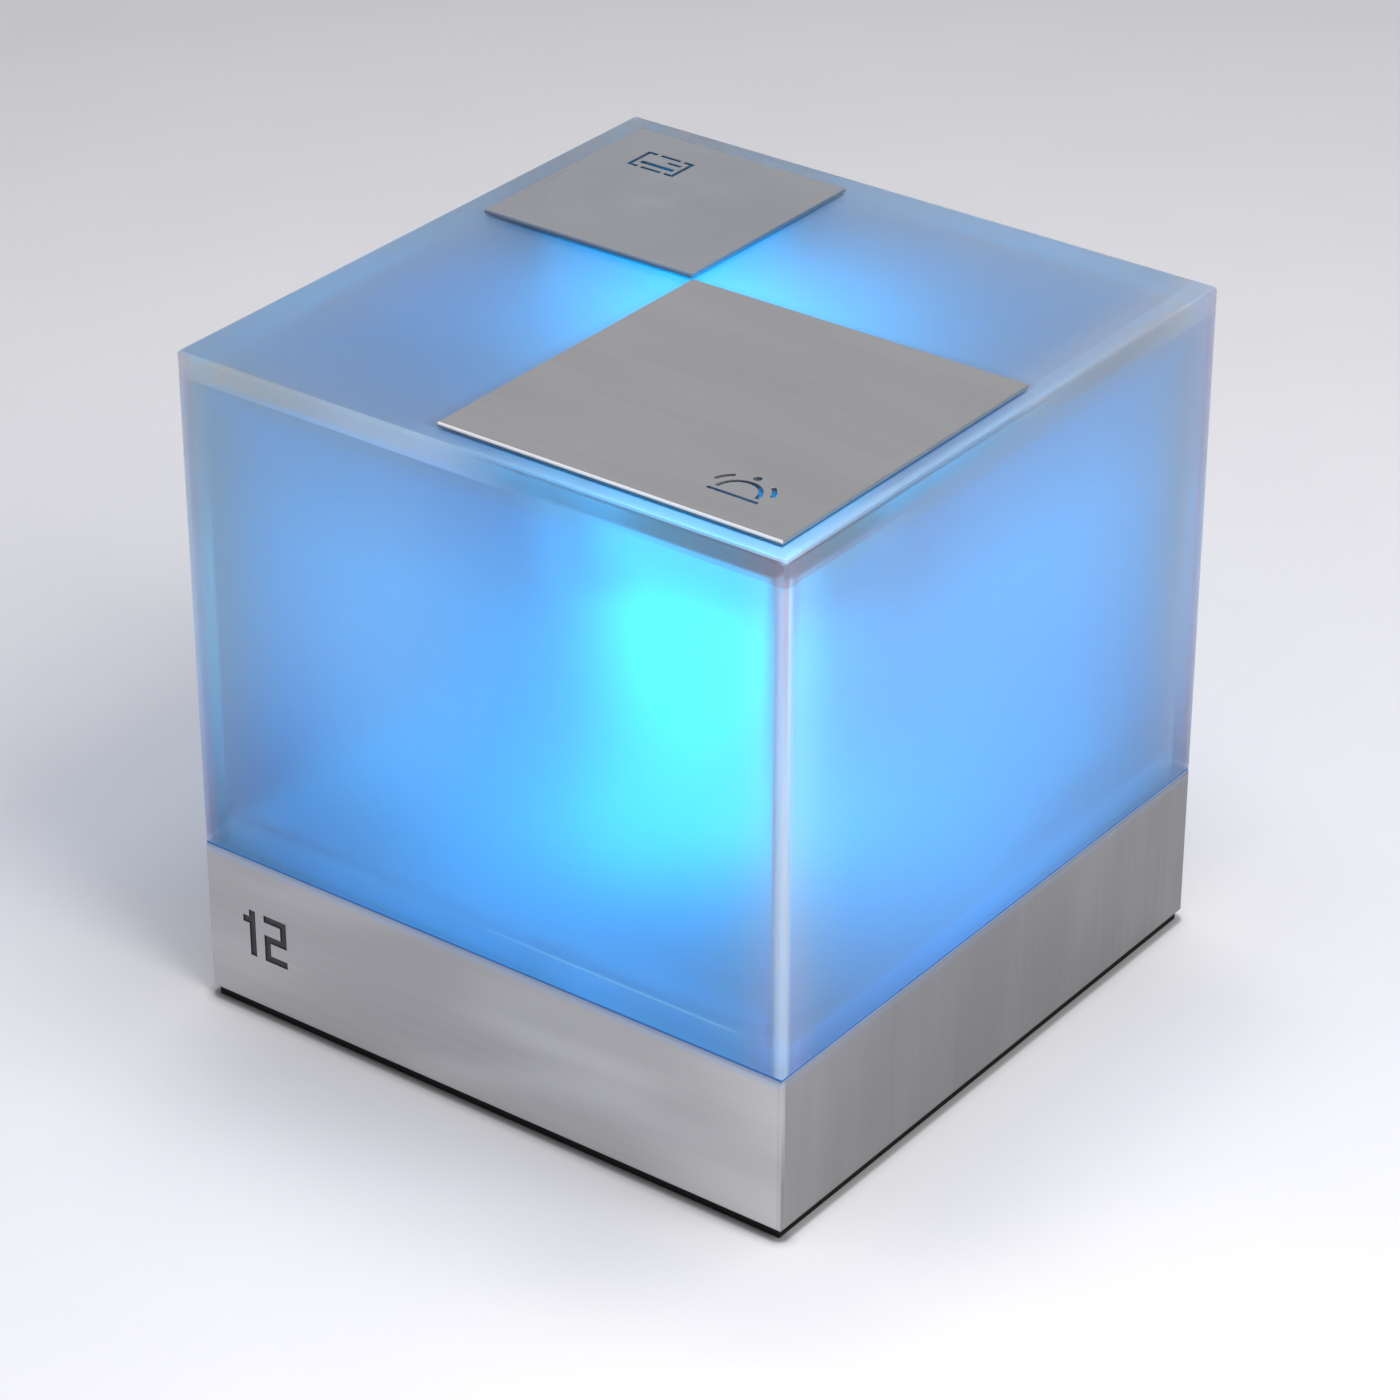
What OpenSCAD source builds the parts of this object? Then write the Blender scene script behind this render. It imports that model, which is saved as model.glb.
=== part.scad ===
// Table call button: a frosted cube lit from within, on a brushed steel band.
// Two steel plates on top are pushed to call for service and to ask for the bill.
// Millimetres. Origin at the centre of the resting face, +Z up, -Y is the front.

/* [Body] */
// Width and depth of the cube
body_w = 80; // [76:1:100]
// Height of the steel band
band_h = 19; // [18:0.5:26]
// Height of the frosted cover
cover_h = 60.7; // [56:0.1:80]
// Wall thickness of the cover's sides
cover_wall = 2.6; // [2.2:0.1:3.2]
// Thickness of the cover's top pane
cover_top = 3.2; // [2.4:0.1:4.4]
// Chamfer along the cover's outer edges
cover_chamfer = 0.4; // [0.2:0.1:0.8]
// Thickness of the seal between cover and band
seal_t = 0.3; // [0.2:0.1:0.6]
// Sheet thickness of the steel band
band_sheet = 1.2; // [0.8:0.1:1.5]
// Radius of the band's upright edges
band_radius = 0.5; // [0.3:0.1:0.8]
// Chamfer along the band's upper and lower edges
band_chamfer = 0.25; // [0.15:0.05:0.4]
// Height of the collar that stands inside the cover
collar_h = 3.9; // [3:0.1:6]

/* [Underside] */
// Thickness of the rubber foot pad
pad_t = 0.6; // [0.5:0.1:1.2]
// Thickness of the base plate's rim, under the band
rim_t = 0.6; // [0.5:0.1:1.2]
// How far the pad and the rim stand in from the band
rim_inset = 0.6; // [0.4:0.1:1]
// Thickness of the base plate inside the band
base_t = 2; // [1.8:0.1:2.4]
// Distance from the cube's side to its case screws
boss_inset = 6.5; // [6:0.1:8]
// Diameter of the case screws
case_screw_d = 2.5; // [2:0.1:3]

/* [Touch plates] */
// Margin from the cube's edge to the service plate
service_margin = 2.3; // [1.5:0.1:4]
// Margin from the cube's edge to the pay plate
pay_margin = 4.2; // [2:0.1:5]
// How far the plates' meeting point lies from the centre, both ways
meet_offset = 6.35; // [4:0.05:7]
// Gap between the two plates where they meet
meet_gap = 0.9; // [0.5:0.1:2]
// Sheet thickness of the plates
plate_t = 0.5; // [0.4:0.1:1]
// How far a plate travels when it is pushed
press_travel = 0.25; // [0.15:0.05:0.5]

/* [Signs] */
// Height of the bell sign on the service plate
bell_h = 5; // [4.5:0.1:6]
// Height of the card sign on the pay plate
card_h = 4.4; // [3.8:0.1:5]
// Stroke of the signs
sign_stroke = 0.5; // [0.4:0.05:0.6]
// Width of the steel left between the cut-outs of a sign
sign_web = 0.45; // [0.3:0.05:0.6]
// Distance from a plate's edge to its sign
sign_margin = 4.8; // [3:0.1:7]
// Height of the table number on the band
number_h = 6; // [4:0.1:8]
// Distance from the cube's edge to the table number
number_margin = 6.2; // [4:0.1:10]
// Depth of the table number's engraving
number_depth = 0.15; // [0.1:0.05:0.3]

/* [Push mechanism] */
// Side of the square plunger
plunger_w = 7; // [6:0.1:8]
// Least wall round the guide's square bore
barrel_wall = 0.6; // [0.5:0.1:1]
// Length of the guide below its flange
guide_drop = 2.2; // [1.5:0.1:3]
// Thickness of the guide's flange
flange_t = 1.6; // [1.4:0.1:2]
// Thickness of the plunger's collar
collar_t = 1.2; // [1:0.1:1.6]
// Side of the square switch carrier
carrier_w = 20; // [19:0.5:22]
// Diameter of the weld stud under a plate
stud_d = 2.5; // [2:0.1:3]
// Thickness of the nut on the stud
nut_t = 2; // [1.6:0.1:2.4]
// Width of the nut across its flats
nut_flats = 5; // [4.5:0.1:5.5]
// Height of the return spring at rest
spring_room = 3.2; // [3:0.1:4]
// Wire of the return spring
spring_wire = 0.5; // [0.3:0.05:0.5]
// Mean diameter of the return spring
spring_d = 8.6; // [8:0.1:9.2]
// Turns of the return spring
spring_turns = 2.5; // [2:0.5:2.5]

/* [Switches] */
// Thickness of the switch boards
switch_board_t = 1; // [0.8:0.1:1.6]
// Side of the tactile switch
tact_w = 6; // [5.5:0.1:6.5]
// Height of the tactile switch
tact_h = 3.4; // [3:0.1:4]
// Diameter of the tactile switch's key
key_d = 3.5; // [3:0.1:4]

/* [Light column] */
// Outer diameter of the light column
column_d = 16; // [15:0.5:18]
// Wall of the light column
column_wall = 1.5; // [1:0.1:1.8]
// How far the light board's head stays below the switch boards
head_drop = 2.3; // [2:0.1:5]
// Width of the upright light board
led_board_w = 10; // [9:0.1:10.5]
// Thickness of the upright light board
led_board_t = 1; // [0.8:0.1:1.6]
// Lamps up each side of the light board
led_rows = 4; // [2:1:5]

/* [Boards and battery] */
// Thickness of the main board
board_t = 1.6; // [1:0.1:2]
// Height of the posts under the main board
post_h = 3; // [2.8:0.1:4]
// How far the main board reaches behind the centre
board_rear = 9; // [8:0.5:11]
// Thickness of the battery
battery_t = 9; // [7:0.5:10]
// Travel of the power switch
power_travel = 2; // [1.5:0.1:2.5]

/* [Hidden] */
$fn = 64;

// Clearances
slip = 0.08;         // between a sliding piece and its guide, on each side
glue_gap = 0.15;     // between glued or dropped-in pieces, on each side
screw_play = 0.05;   // between a screw and its hole, on each side
deck_play = 0.25;    // between the deck and the band's opening
down_gap = 0.05;     // left under a plate when it is pushed down
over = 1;            // how far a cutting body runs past the face that it cuts

// Heights, from the table up
rim_z = pad_t;
band_z = rim_z + rim_t;
base_top = band_z + base_t;
band_top = band_z + band_h;
cover_z = band_top + seal_t;
top_z = cover_z + cover_h;
pane_z = top_z - cover_top;

// Deck: a tray glued inside the cover, level with the top of the band
deck_t = 2;
deck_top = band_top + 0.1;
deck_z = deck_top - deck_t;
deck_w = body_w - 2 * cover_wall - 2 * glue_gap;
deck_wall = 1.5;
band_opening = deck_w + 2 * deck_play;
seal_inset = 0.2;

// Case screws, from the base plate up into the deck
boss_xy = body_w / 2 - boss_inset;
boss_d = case_screw_d + 3.9;
base_boss_top = base_top + 2;
case_head_d = case_screw_d + 2;
case_head_t = 1.8;
case_head_z = rim_z + 0.2;
case_seat_z = case_head_z + case_head_t;
case_screw_bite = 8.4;
case_screw_end = base_boss_top + case_screw_bite;

// Touch plates: sides and centres, along the cube's diagonal
service_side = body_w / 2 - service_margin + meet_offset - meet_gap / 2;
pay_side = body_w / 2 - pay_margin - meet_offset - meet_gap / 2;
service_c = body_w / 2 - service_margin - service_side / 2;
pay_c = body_w / 2 - pay_margin - pay_side / 2;
service_at = [service_c, -service_c, 0];
pay_at = [-pay_c, pay_c, 0];
service_turn = -45;
pay_turn = 135;
plate_gap = press_travel + down_gap;
plate_z = top_z + plate_gap;

// Push mechanism, from the pane down
barrel_d = (plunger_w + 2 * slip) * sqrt(2) + 2 * barrel_wall;
guide_top = top_z - 0.2;
flange_z = pane_z - flange_t;
guide_end = flange_z - guide_drop;
collar_z = guide_end - collar_t;
nut_z = collar_z - nut_t;
stud_end = nut_z - 0.4;
floor_top = collar_z - spring_room;
floor_z = floor_top - 1;
carrier_bore = barrel_d + 2;
tact_top = floor_z - slip;
board_face = tact_top - tact_h;
switch_board_z = board_face - switch_board_t;
switch_board_w = carrier_w - 1;
tact_room = 1.3;
leg = [0.9, 0.7, 0.2];
key_grip = 1;
key_depth = key_grip + 0.7;
key_room = 0.95;
carrier_screw_d = 1.6;
carrier_screw_xy = carrier_w / 2 - 2;
carrier_head_d = 3;
carrier_head_t = 1.2;
carrier_screw_end = flange_z + 1.1;

// Light column, which stands on the deck, and its board
head_rise = 4.5;
cap_t = 1.5;
cap_plug = 3;
led_board_top = switch_board_z - head_drop;
cap_z = led_board_top - head_rise - cap_t;
column_ring_h = 3;
column_ring_wall = 1.6;
board_play = 0.2;
led = [1.9, 3.5, 2.8];
first_led_z = deck_top + 5;
led_pitch = (cap_z - cap_plug - 2 - led[2] - first_led_z) / (led_rows - 1);

// Ribbons, from the light board's head out to the switch boards
head_socket = [2.4, 7, 1.6];
head_socket_z = led_board_top - head_socket[2] - 0.8;
plug = [3, 7, 1.5];
plug_offset = 5;
ribbon_w = 5;
ribbon_t = 0.4;
ribbon_grip = 1;
ribbon_play = 0.15;
ribbon_steps = 12;
ribbon_low = head_socket_z + head_socket[2] / 2;
ribbon_high = switch_board_z - plug[2] / 2;

// Main board, on posts of the base plate
post_top = base_top + post_h;
board_top = post_top + board_t;
post_d = 5;
board_half = boss_xy - boss_d / 2 - 0.5;
board_front = body_w / 2 - band_sheet - 2.8;
board_screw_d = 2;
board_screw_inset = 3.2;
inner_half = board_half - 2 * board_screw_inset;   // free of the board's screws
board_head_d = 3.8;
board_head_t = 1.3;
board_screw_end = base_top - 0.5;
led_socket = [5, 14, 6];
led_socket_floor = 1;
led_board_z = board_top + led_socket_floor;

// Battery, behind the main board
battery_front = board_rear + 2;
battery_rear = board_front;
battery_pad_t = 0.5;
battery_z = base_top + battery_pad_t;
battery_play = 0.2;
rib_t = 1;
rib_h = 4;
rib_half = 14;
lead_d = 1.3;
lead_pitch = 2;
lead_grip = 1.5;
battery_plug_size = [7, 4.5, 4];
battery_plug_x = inner_half - battery_plug_size[0] / 2;
battery_plug_back = board_rear - 1;
lead_z = board_top + 1.2;

// Parts on the main board, with their places counted from its front edge
radio_board = [16, 20, 0.8];
radio_shield = [13.6, 14, 1.7];
radio_shield_y = -2;
radio_at = [radio_board[0] / 2 - inner_half, radio_board[1] / 2 + 2 - board_front, 0];
processor = [7, 7, 1];
processor_at = [2, 19 - board_front, 0];
charger = [4, 4, 0.9];
charger_at = [12, 6 - board_front, 0];
choke_d = 6;
choke_h = 2.8;
choke_at = [inner_half - choke_d / 2, 6 - board_front, 0];
can_d = 5;
can_h = 5.4;
can_at = [inner_half - can_d / 2, 14 - board_front, 0];
can_pitch = 7;
small_part = [1.6, 0.8, 0.6];
small_at = [10, 14 - board_front, 0];
small_pitch = 2.6;
small_count = 5;

// Contacts, power switch and its knob
contact_x = 7;
contact_y = 7 - board_front;
contact_head_d = 5;
contact_head_t = 0.5;
contact_sink = 0.25;
contact_pin_d = 2.5;
pad_hole_d = 7;
power_at = [16, 16 - board_front, 0];
switch_case = [9.4, 5, 2.8];
switch_wall = 0.4;
slider = [3.2, 3, 1];
stem = [2, 1.5];
stem_room = 0.3;
knob = [3.6, 4, 1];
knob_z = rim_z + 0.1;
knob_pocket = 0.5;
knob_room = 0.4;
knob_ceiling = knob_z + knob[2] + 0.1;
pad_window = 0.7;
ridge_h = 0.2;
ridge_w = 0.4;

// The arcs beside the bell, as angles from the level
ring_from = 18;
ring_to = 52;

// Square outline with round corners
module round_square(w, r) {
  square([w - 2 * r, w], center = true);
  square([w, w - 2 * r], center = true);
  for (x = [-1, 1], y = [-1, 1])
    translate([x * (w / 2 - r), y * (w / 2 - r)]) circle(r);
}

// Square outline with its corners cut
module cut_square(w, c) {
  a = w / 2;
  polygon([[-a, c - a], [c - a, -a], [a - c, -a], [a, c - a],
           [a, a - c], [a - c, a], [c - a, a], [-a, a - c]]);
}

// Side view of a block whose lower and upper edges are chamfered
module side_profile(w, h, lower, upper) {
  a = w / 2;
  rotate([90, 0, 0]) linear_extrude(w + over, center = true)
    polygon([[-a, lower], [lower - a, 0], [a - lower, 0], [a, lower],
             [a, h - upper], [a - upper, h], [upper - a, h], [-a, h - upper]]);
}

// Raises an outline to a block with chamfered edges
module edged_block(w, h, lower, upper) {
  intersection() {
    linear_extrude(h) children();
    side_profile(w, h, lower, upper);
    rotate(90) side_profile(w, h, lower, upper);
  }
}

// Square block on z = 0, centred on the axis
module block(w, h) {
  linear_extrude(h) square(w, center = true);
}

// Box on z = 0, centred on the axis
module box(size) {
  linear_extrude(size[2]) square([size[0], size[1]], center = true);
}

module at_corners(xy) {
  for (x = [-1, 1], y = [-1, 1]) translate([x * xy, y * xy, 0]) children();
}

// Two opposite corners of a switch carrier, clear of its ribbon
module at_carrier_screws() {
  for (s = [-1, 1]) translate([s * carrier_screw_xy, s * carrier_screw_xy, 0]) children();
}

module at_board_screws() {
  for (x = [-1, 1], y = [board_screw_inset - board_front, board_rear - board_screw_inset])
    translate([x * (board_half - board_screw_inset), y, 0]) children();
}

module at_contacts() {
  for (x = [-1, 1]) translate([x * contact_x, contact_y, 0]) children();
}

// Pan-head screw pointing up, with its head's underside on the axis origin's level
module screw_up(d, length, head_d, head_t) {
  difference() {
    union() {
      translate([0, 0, -head_t]) cylinder(d = head_d, h = head_t);
      cylinder(d = d, h = length);
    }
    translate([0, 0, -head_t - over]) rotate(20)
      linear_extrude(over + head_t / 2) {
        square([head_d * 0.6, head_d * 0.16], center = true);
        square([head_d * 0.16, head_d * 0.6], center = true);
      }
  }
}

// Bell, cut through a plate: bar, dome outline and knob, with an arc on each side
module bell_sign() {
  knob_r = bell_h * 0.09;
  dome_r = bell_h - sign_stroke - 2 * sign_web - 2 * knob_r;
  dome_y = sign_stroke + sign_web;
  translate([-dome_r - sign_web, 0]) square([2 * dome_r + 2 * sign_web, sign_stroke]);
  translate([0, dome_y]) arc(dome_r, 0, 180);
  translate([0, dome_y + dome_r + sign_web + knob_r]) circle(knob_r);
  for (side = [0, 1]) mirror([side, 0])
    translate([0, dome_y]) arc(dome_r * 1.5, ring_from, ring_to);
}

// Ring sector one stroke wide, between two angles
module arc(r, from, to) {
  rotate(from) rotate_arc(r, to - from);
}

module rotate_arc(r, sweep) {
  reach = 2 * r;
  difference() {
    circle(r);
    circle(r - sign_stroke);
    rotate(sweep) translate([-reach, 0]) square([2 * reach, reach]);
    translate([-reach, -reach]) square([2 * reach, reach]);
  }
}

// Payment card, cut through a plate: outline held by two webs, stripe and a short line
module card_sign() {
  w = card_h * 1.5;
  inner_w = w - 2 * sign_stroke - 2 * sign_web;
  difference() {
    translate([-w / 2, 0]) square([w, card_h]);
    translate([sign_stroke - w / 2, sign_stroke])
      square([w - 2 * sign_stroke, card_h - 2 * sign_stroke]);
    for (x = [-w / 4, w / 4])
      translate([x - sign_web / 2, -over]) square([sign_web, card_h + 2 * over]);
  }
  translate([-inner_w / 2, card_h * 0.58]) square([inner_w, sign_stroke * 1.4]);
  translate([-inner_w / 2, card_h * 0.28]) square([inner_w * 0.4, sign_stroke]);
}

// Table number, as plain strokes
module table_number() {
  s = number_h * 0.15;
  w = number_h * 0.55;
  square([s, number_h]);
  translate([-s, number_h - 2 * s]) square([2 * s, s]);
  translate([2.4 * s, 0]) {
    square([w, s]);
    square([s, number_h / 2]);
    translate([0, (number_h - s) / 2]) square([w, s]);
    translate([w - s, (number_h - s) / 2]) square([s, (number_h + s) / 2]);
    translate([0, number_h - s]) square([w, s]);
  }
}

module cover() {
  inner = body_w - 2 * cover_wall;
  color([0.45, 0.72, 1, 0.5]) difference() {
    translate([0, 0, cover_z])
      edged_block(body_w, cover_h, cover_chamfer / 2, cover_chamfer) cut_square(body_w, cover_chamfer);
    translate([0, 0, cover_z - over]) block(inner, pane_z - cover_z + over);
    for (at = [service_at, pay_at])
      translate(at) translate([0, 0, pane_z - over])
        cylinder(d = barrel_d + 2 * glue_gap, h = cover_top + 2 * over);
  }
}

module cover_seal() {
  color([0.1, 0.13, 0.22]) translate([0, 0, band_top]) linear_extrude(seal_t) difference() {
    square(body_w - 2 * seal_inset, center = true);
    square(band_opening, center = true);
  }
}

module base_band() {
  color([0.7, 0.7, 0.72]) difference() {
    translate([0, 0, band_z])
      edged_block(body_w, band_h, band_chamfer, band_chamfer) round_square(body_w, band_radius);
    translate([0, 0, band_z - over]) block(body_w - 2 * band_sheet, band_h - band_sheet + over);
    translate([0, 0, band_z]) block(band_opening, band_h + over);
    translate([number_margin - body_w / 2, number_depth - body_w / 2, band_z + (band_h - number_h) / 2])
      rotate([90, 0, 0]) linear_extrude(number_depth + over) table_number();
  }
}

module base_plate() {
  color([0.1, 0.1, 0.11]) difference() {
    union() {
      translate([0, 0, rim_z]) block(body_w - 2 * rim_inset, rim_t);
      translate([0, 0, band_z]) block(body_w - 2 * band_sheet - 2 * glue_gap, base_t);
      translate([0, 0, base_top]) {
        at_corners(boss_xy) cylinder(d = boss_d, h = base_boss_top - base_top);
        at_board_screws() cylinder(d = post_d, h = post_h);
        for (y = [battery_front - battery_play - rib_t, battery_rear + battery_play])
          translate([-rib_half, y, 0]) cube([2 * rib_half, rib_t, rib_h]);
      }
    }
    at_corners(boss_xy) {
      translate([0, 0, rim_z - over])
        cylinder(d = case_head_d + 2 * glue_gap, h = case_seat_z - rim_z + over);
      cylinder(d = case_screw_d + 2 * screw_play, h = base_boss_top + over);
    }
    translate([0, 0, board_screw_end - 0.3]) at_board_screws()
      cylinder(d = board_screw_d + 2 * screw_play, h = post_h + base_t);
    at_contacts() {
      cylinder(d = contact_head_d + 2 * glue_gap, h = rim_z + contact_sink);
      cylinder(d = contact_pin_d + 2 * screw_play, h = base_top + over);
    }
    translate(power_at) {
      box([knob[0] + power_travel + 2 * knob_room, knob[1] + 2 * knob_room, knob_ceiling]);
      box([stem[0] + power_travel + 2 * stem_room, stem[1] + 2 * stem_room, base_top + over]);
    }
  }
}

module foot_pad() {
  window = knob_room + pad_window;
  color([0.07, 0.07, 0.08]) linear_extrude(pad_t) difference() {
    square(body_w - 2 * rim_inset, center = true);
    at_corners(boss_xy) circle(d = case_head_d + 1);
    at_contacts() circle(d = pad_hole_d);
    translate(power_at)
      square([knob[0] + power_travel + 2 * window, knob[1] + 2 * window], center = true);
  }
}

module deck() {
  ring_d = column_d + 2 * glue_gap;
  collar_top = band_top + collar_h;
  color([0.93, 0.94, 0.95]) difference() {
    union() {
      translate([0, 0, deck_z]) block(deck_w, collar_top - deck_z);
      at_corners(boss_xy) translate([0, 0, base_boss_top])
        cylinder(d = boss_d, h = deck_z - base_boss_top);
    }
    translate([0, 0, deck_top]) linear_extrude(collar_h + over) difference() {
      square(deck_w - 2 * deck_wall, center = true);
      circle(d = ring_d + 2 * column_ring_wall);
    }
    translate([0, 0, deck_top]) cylinder(d = ring_d, h = collar_h + over);
    translate([0, 0, deck_top + column_ring_h])
      cylinder(d = ring_d + 4 * column_ring_wall, h = collar_h + over);
    rotate(service_turn) translate([0, 0, deck_z - over])
      box([led_board_t + 2 * board_play, led_board_w + 2 * board_play, deck_t + 2 * over]);
    at_corners(boss_xy) translate([0, 0, base_boss_top - over])
      cylinder(d = case_screw_d + 2 * screw_play, h = case_screw_end + 0.5 - base_boss_top + over);
  }
}

// Plate with its weld stud, sign cut through, centred on its plunger
module touch_plate(side, sign_at, sign_turn) {
  difference() {
    union() {
      translate([0, 0, plate_z]) block(side, plate_t);
      translate([0, 0, stud_end]) cylinder(d = stud_d, h = plate_z + plate_t / 2 - stud_end);
    }
    translate([sign_at[0], sign_at[1], plate_z - plate_gap / 2]) rotate(sign_turn)
      linear_extrude(plate_t + plate_gap) children();
  }
}

module plunger() {
  color([0.85, 0.86, 0.88]) difference() {
    union() {
      translate([0, 0, collar_z]) block(plunger_w, plate_z - collar_z);
      translate([0, 0, collar_z]) cylinder(d = barrel_d, h = collar_t);
    }
    translate([0, 0, collar_z - over])
      cylinder(d = stud_d + 2 * screw_play, h = plate_z - collar_z + 2 * over);
  }
}

module nut() {
  color([0.75, 0.76, 0.78]) translate([0, 0, nut_z]) difference() {
    cylinder(d = nut_flats / cos(30), h = nut_t, $fn = 6);
    translate([0, 0, -over]) cylinder(d = stud_d + 2 * screw_play, h = nut_t + 2 * over);
  }
}

// Bush glued under the pane: its barrel fills the hole, its square bore guides the plunger
module guide_bush() {
  color([0.9, 0.9, 0.92]) difference() {
    union() {
      translate([0, 0, flange_z]) block(carrier_w, flange_t);
      translate([0, 0, guide_end]) cylinder(d = barrel_d, h = guide_top - guide_end);
    }
    translate([0, 0, guide_end - over]) block(plunger_w + 2 * slip, guide_top - guide_end + 2 * over);
    at_carrier_screws() translate([0, 0, flange_z - over])
      cylinder(d = carrier_screw_d + 2 * screw_play, h = carrier_screw_end + 0.1 - flange_z + over);
  }
}

// Open coil as one tube: a curl has coil_rings rings of coil_sides points
coil_rings = 8;
coil_sides = 6;
coil_count = spring_turns * coil_rings;
function coil_z(i) = floor_top + spring_wire / 2 + (spring_room - spring_wire) * i / coil_count;
function coil_at(i, r) = [r * cos(360 * i / coil_rings), r * sin(360 * i / coil_rings), coil_z(i)];
function coil_point(i, j) =
  let (a = 30 + 360 * j / coil_sides)
  coil_at(i, spring_d / 2 + spring_wire / 2 * cos(a)) + [0, 0, spring_wire / 2 * sin(a)];
coil_points = [for (i = [0:coil_count], j = [0:coil_sides - 1]) coil_point(i, j)];
coil_gap = min([for (i = [0:coil_count - coil_rings])
  norm(coil_at(i, spring_d / 2) - coil_at(i + coil_rings, spring_d / 2)) - spring_wire]);

module return_spring() {
  last = coil_count * coil_sides;
  echo("least gap between the spring's turns", coil_gap);
  color([0.6, 0.61, 0.63]) polyhedron(
    points = coil_points,
    faces = concat(
      [[for (j = [0:coil_sides - 1]) j]],
      [[for (j = [coil_sides - 1:-1:0]) last + j]],
      [for (i = [0:coil_count - 1], j = [0:coil_sides - 1])
        let (low = i * coil_sides, next = (j + 1) % coil_sides)
        [low + j, low + coil_sides + j, low + next]],
      [for (i = [0:coil_count - 1], j = [0:coil_sides - 1])
        let (low = i * coil_sides, next = (j + 1) % coil_sides)
        [low + next, low + coil_sides + j, low + coil_sides + next]]));
}

// Cup that hangs from the guide's flange, with the tact switch in its lower pocket
module switch_carrier() {
  color([0.88, 0.88, 0.9]) difference() {
    translate([0, 0, board_face]) block(carrier_w, flange_z - board_face);
    translate([0, 0, floor_top]) cylinder(d = carrier_bore, h = flange_z - floor_top + over);
    translate([0, 0, floor_z - over])
      cylinder(d = key_d + 2 * key_room, h = floor_top - floor_z + 2 * over);
    translate([0, 0, board_face - over]) block(tact_w + 2 * tact_room, floor_z - board_face + over);
    at_carrier_screws() translate([0, 0, board_face - over])
      cylinder(d = carrier_screw_d + 2 * screw_play, h = flange_z - board_face + 2 * over);
  }
}

module switch_board() {
  color([0.08, 0.35, 0.2]) translate([0, 0, switch_board_z]) difference() {
    block(switch_board_w, switch_board_t);
    at_carrier_screws() translate([0, 0, -over])
      cylinder(d = carrier_screw_d + 2 * screw_play, h = switch_board_t + 2 * over);
  }
}

module tact_switch() {
  color([0.15, 0.15, 0.16]) difference() {
    translate([0, 0, board_face]) union() {
      block(tact_w, tact_h);
      for (x = [-1, 1], y = [-1, 1])
        translate([x * (tact_w + leg[0]) / 2, y * tact_w * 0.37, 0]) box(leg);
    }
    translate([0, 0, tact_top - key_depth]) cylinder(d = key_d + 2 * slip, h = key_depth + over);
  }
}

module switch_key() {
  color([0.9, 0.88, 0.82]) translate([0, 0, tact_top - key_grip])
    cylinder(d = key_d, h = stud_end - tact_top + key_grip);
}

module carrier_screws() {
  color([0.7, 0.71, 0.73]) at_carrier_screws() translate([0, 0, switch_board_z])
    screw_up(carrier_screw_d, carrier_screw_end - switch_board_z, carrier_head_d, carrier_head_t);
}

// Slot that takes a ribbon's end, cut from the face at x = 0 inwards
module ribbon_slot() {
  translate([-over, -ribbon_w / 2 - ribbon_play, -ribbon_t / 2 - ribbon_play])
    cube([over + ribbon_grip + ribbon_play, ribbon_w + 2 * ribbon_play, ribbon_t + 2 * ribbon_play]);
}

// Plug under a switch board; c is the button's distance from the cube's axis
module ribbon_plug(c) {
  color([0.92, 0.9, 0.84]) difference() {
    translate([plug_near(c), 0, switch_board_z - plug[2]]) translate([plug[0] / 2, 0, 0]) box(plug);
    translate([plug_near(c), 0, ribbon_high]) ribbon_slot();
  }
}

function plug_near(c) = c * sqrt(2) - plug_offset - plug[0] / 2;
function ease(t) = t * t * (3 - 2 * t);

// Flat cable in the upright plane through a button and the cube's axis
module ribbon(c) {
  near = led_board_t / 2 + head_socket[0];
  far = plug_near(c);
  path = concat(
    [[near - ribbon_grip, ribbon_low]],
    [for (i = [0:ribbon_steps]) let (t = i / ribbon_steps)
      [near + (far - near) * t, ribbon_low + (ribbon_high - ribbon_low) * ease(t)]],
    [[far + ribbon_grip, ribbon_high]]);
  last = len(path) - 1;
  color([0.8, 0.82, 0.86]) rotate([90, 0, 0]) linear_extrude(ribbon_w, center = true)
    polygon(concat(
      [for (p = path) p - [0, ribbon_t / 2]],
      [for (i = [last:-1:0]) path[i] + [0, ribbon_t / 2]]));
}

module light_column() {
  color([0.9, 0.96, 1, 0.8]) translate([0, 0, deck_top]) linear_extrude(cap_z - deck_top) difference() {
    circle(d = column_d);
    circle(d = column_d - 2 * column_wall);
  }
}

module column_cap() {
  color([0.9, 0.91, 0.93]) difference() {
    union() {
      translate([0, 0, cap_z]) cylinder(d = column_d, h = cap_t);
      translate([0, 0, cap_z - cap_plug])
        cylinder(d = column_d - 2 * column_wall - 2 * glue_gap, h = cap_plug);
    }
    rotate(service_turn) translate([0, 0, cap_z - cap_plug - over])
      box([led_board_t + 2 * board_play, led_board_w + 2 * board_play, cap_plug + cap_t + 2 * over]);
  }
}

module led_board() {
  color([0.94, 0.95, 0.93]) rotate(service_turn) translate([0, 0, led_board_z])
    box([led_board_t, led_board_w, led_board_top - led_board_z]);
}

module leds() {
  color([1, 0.95, 0.6]) for (turn = [service_turn, pay_turn], i = [0:led_rows - 1])
    rotate(turn) translate([(led_board_t + led[0]) / 2, 0, first_led_z + i * led_pitch]) box(led);
}

module head_sockets() {
  color([0.92, 0.9, 0.84]) for (turn = [service_turn, pay_turn]) rotate(turn) difference() {
    translate([(led_board_t + head_socket[0]) / 2, 0, head_socket_z]) box(head_socket);
    translate([led_board_t / 2 + head_socket[0], 0, ribbon_low]) mirror([1, 0, 0]) ribbon_slot();
  }
}

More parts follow.
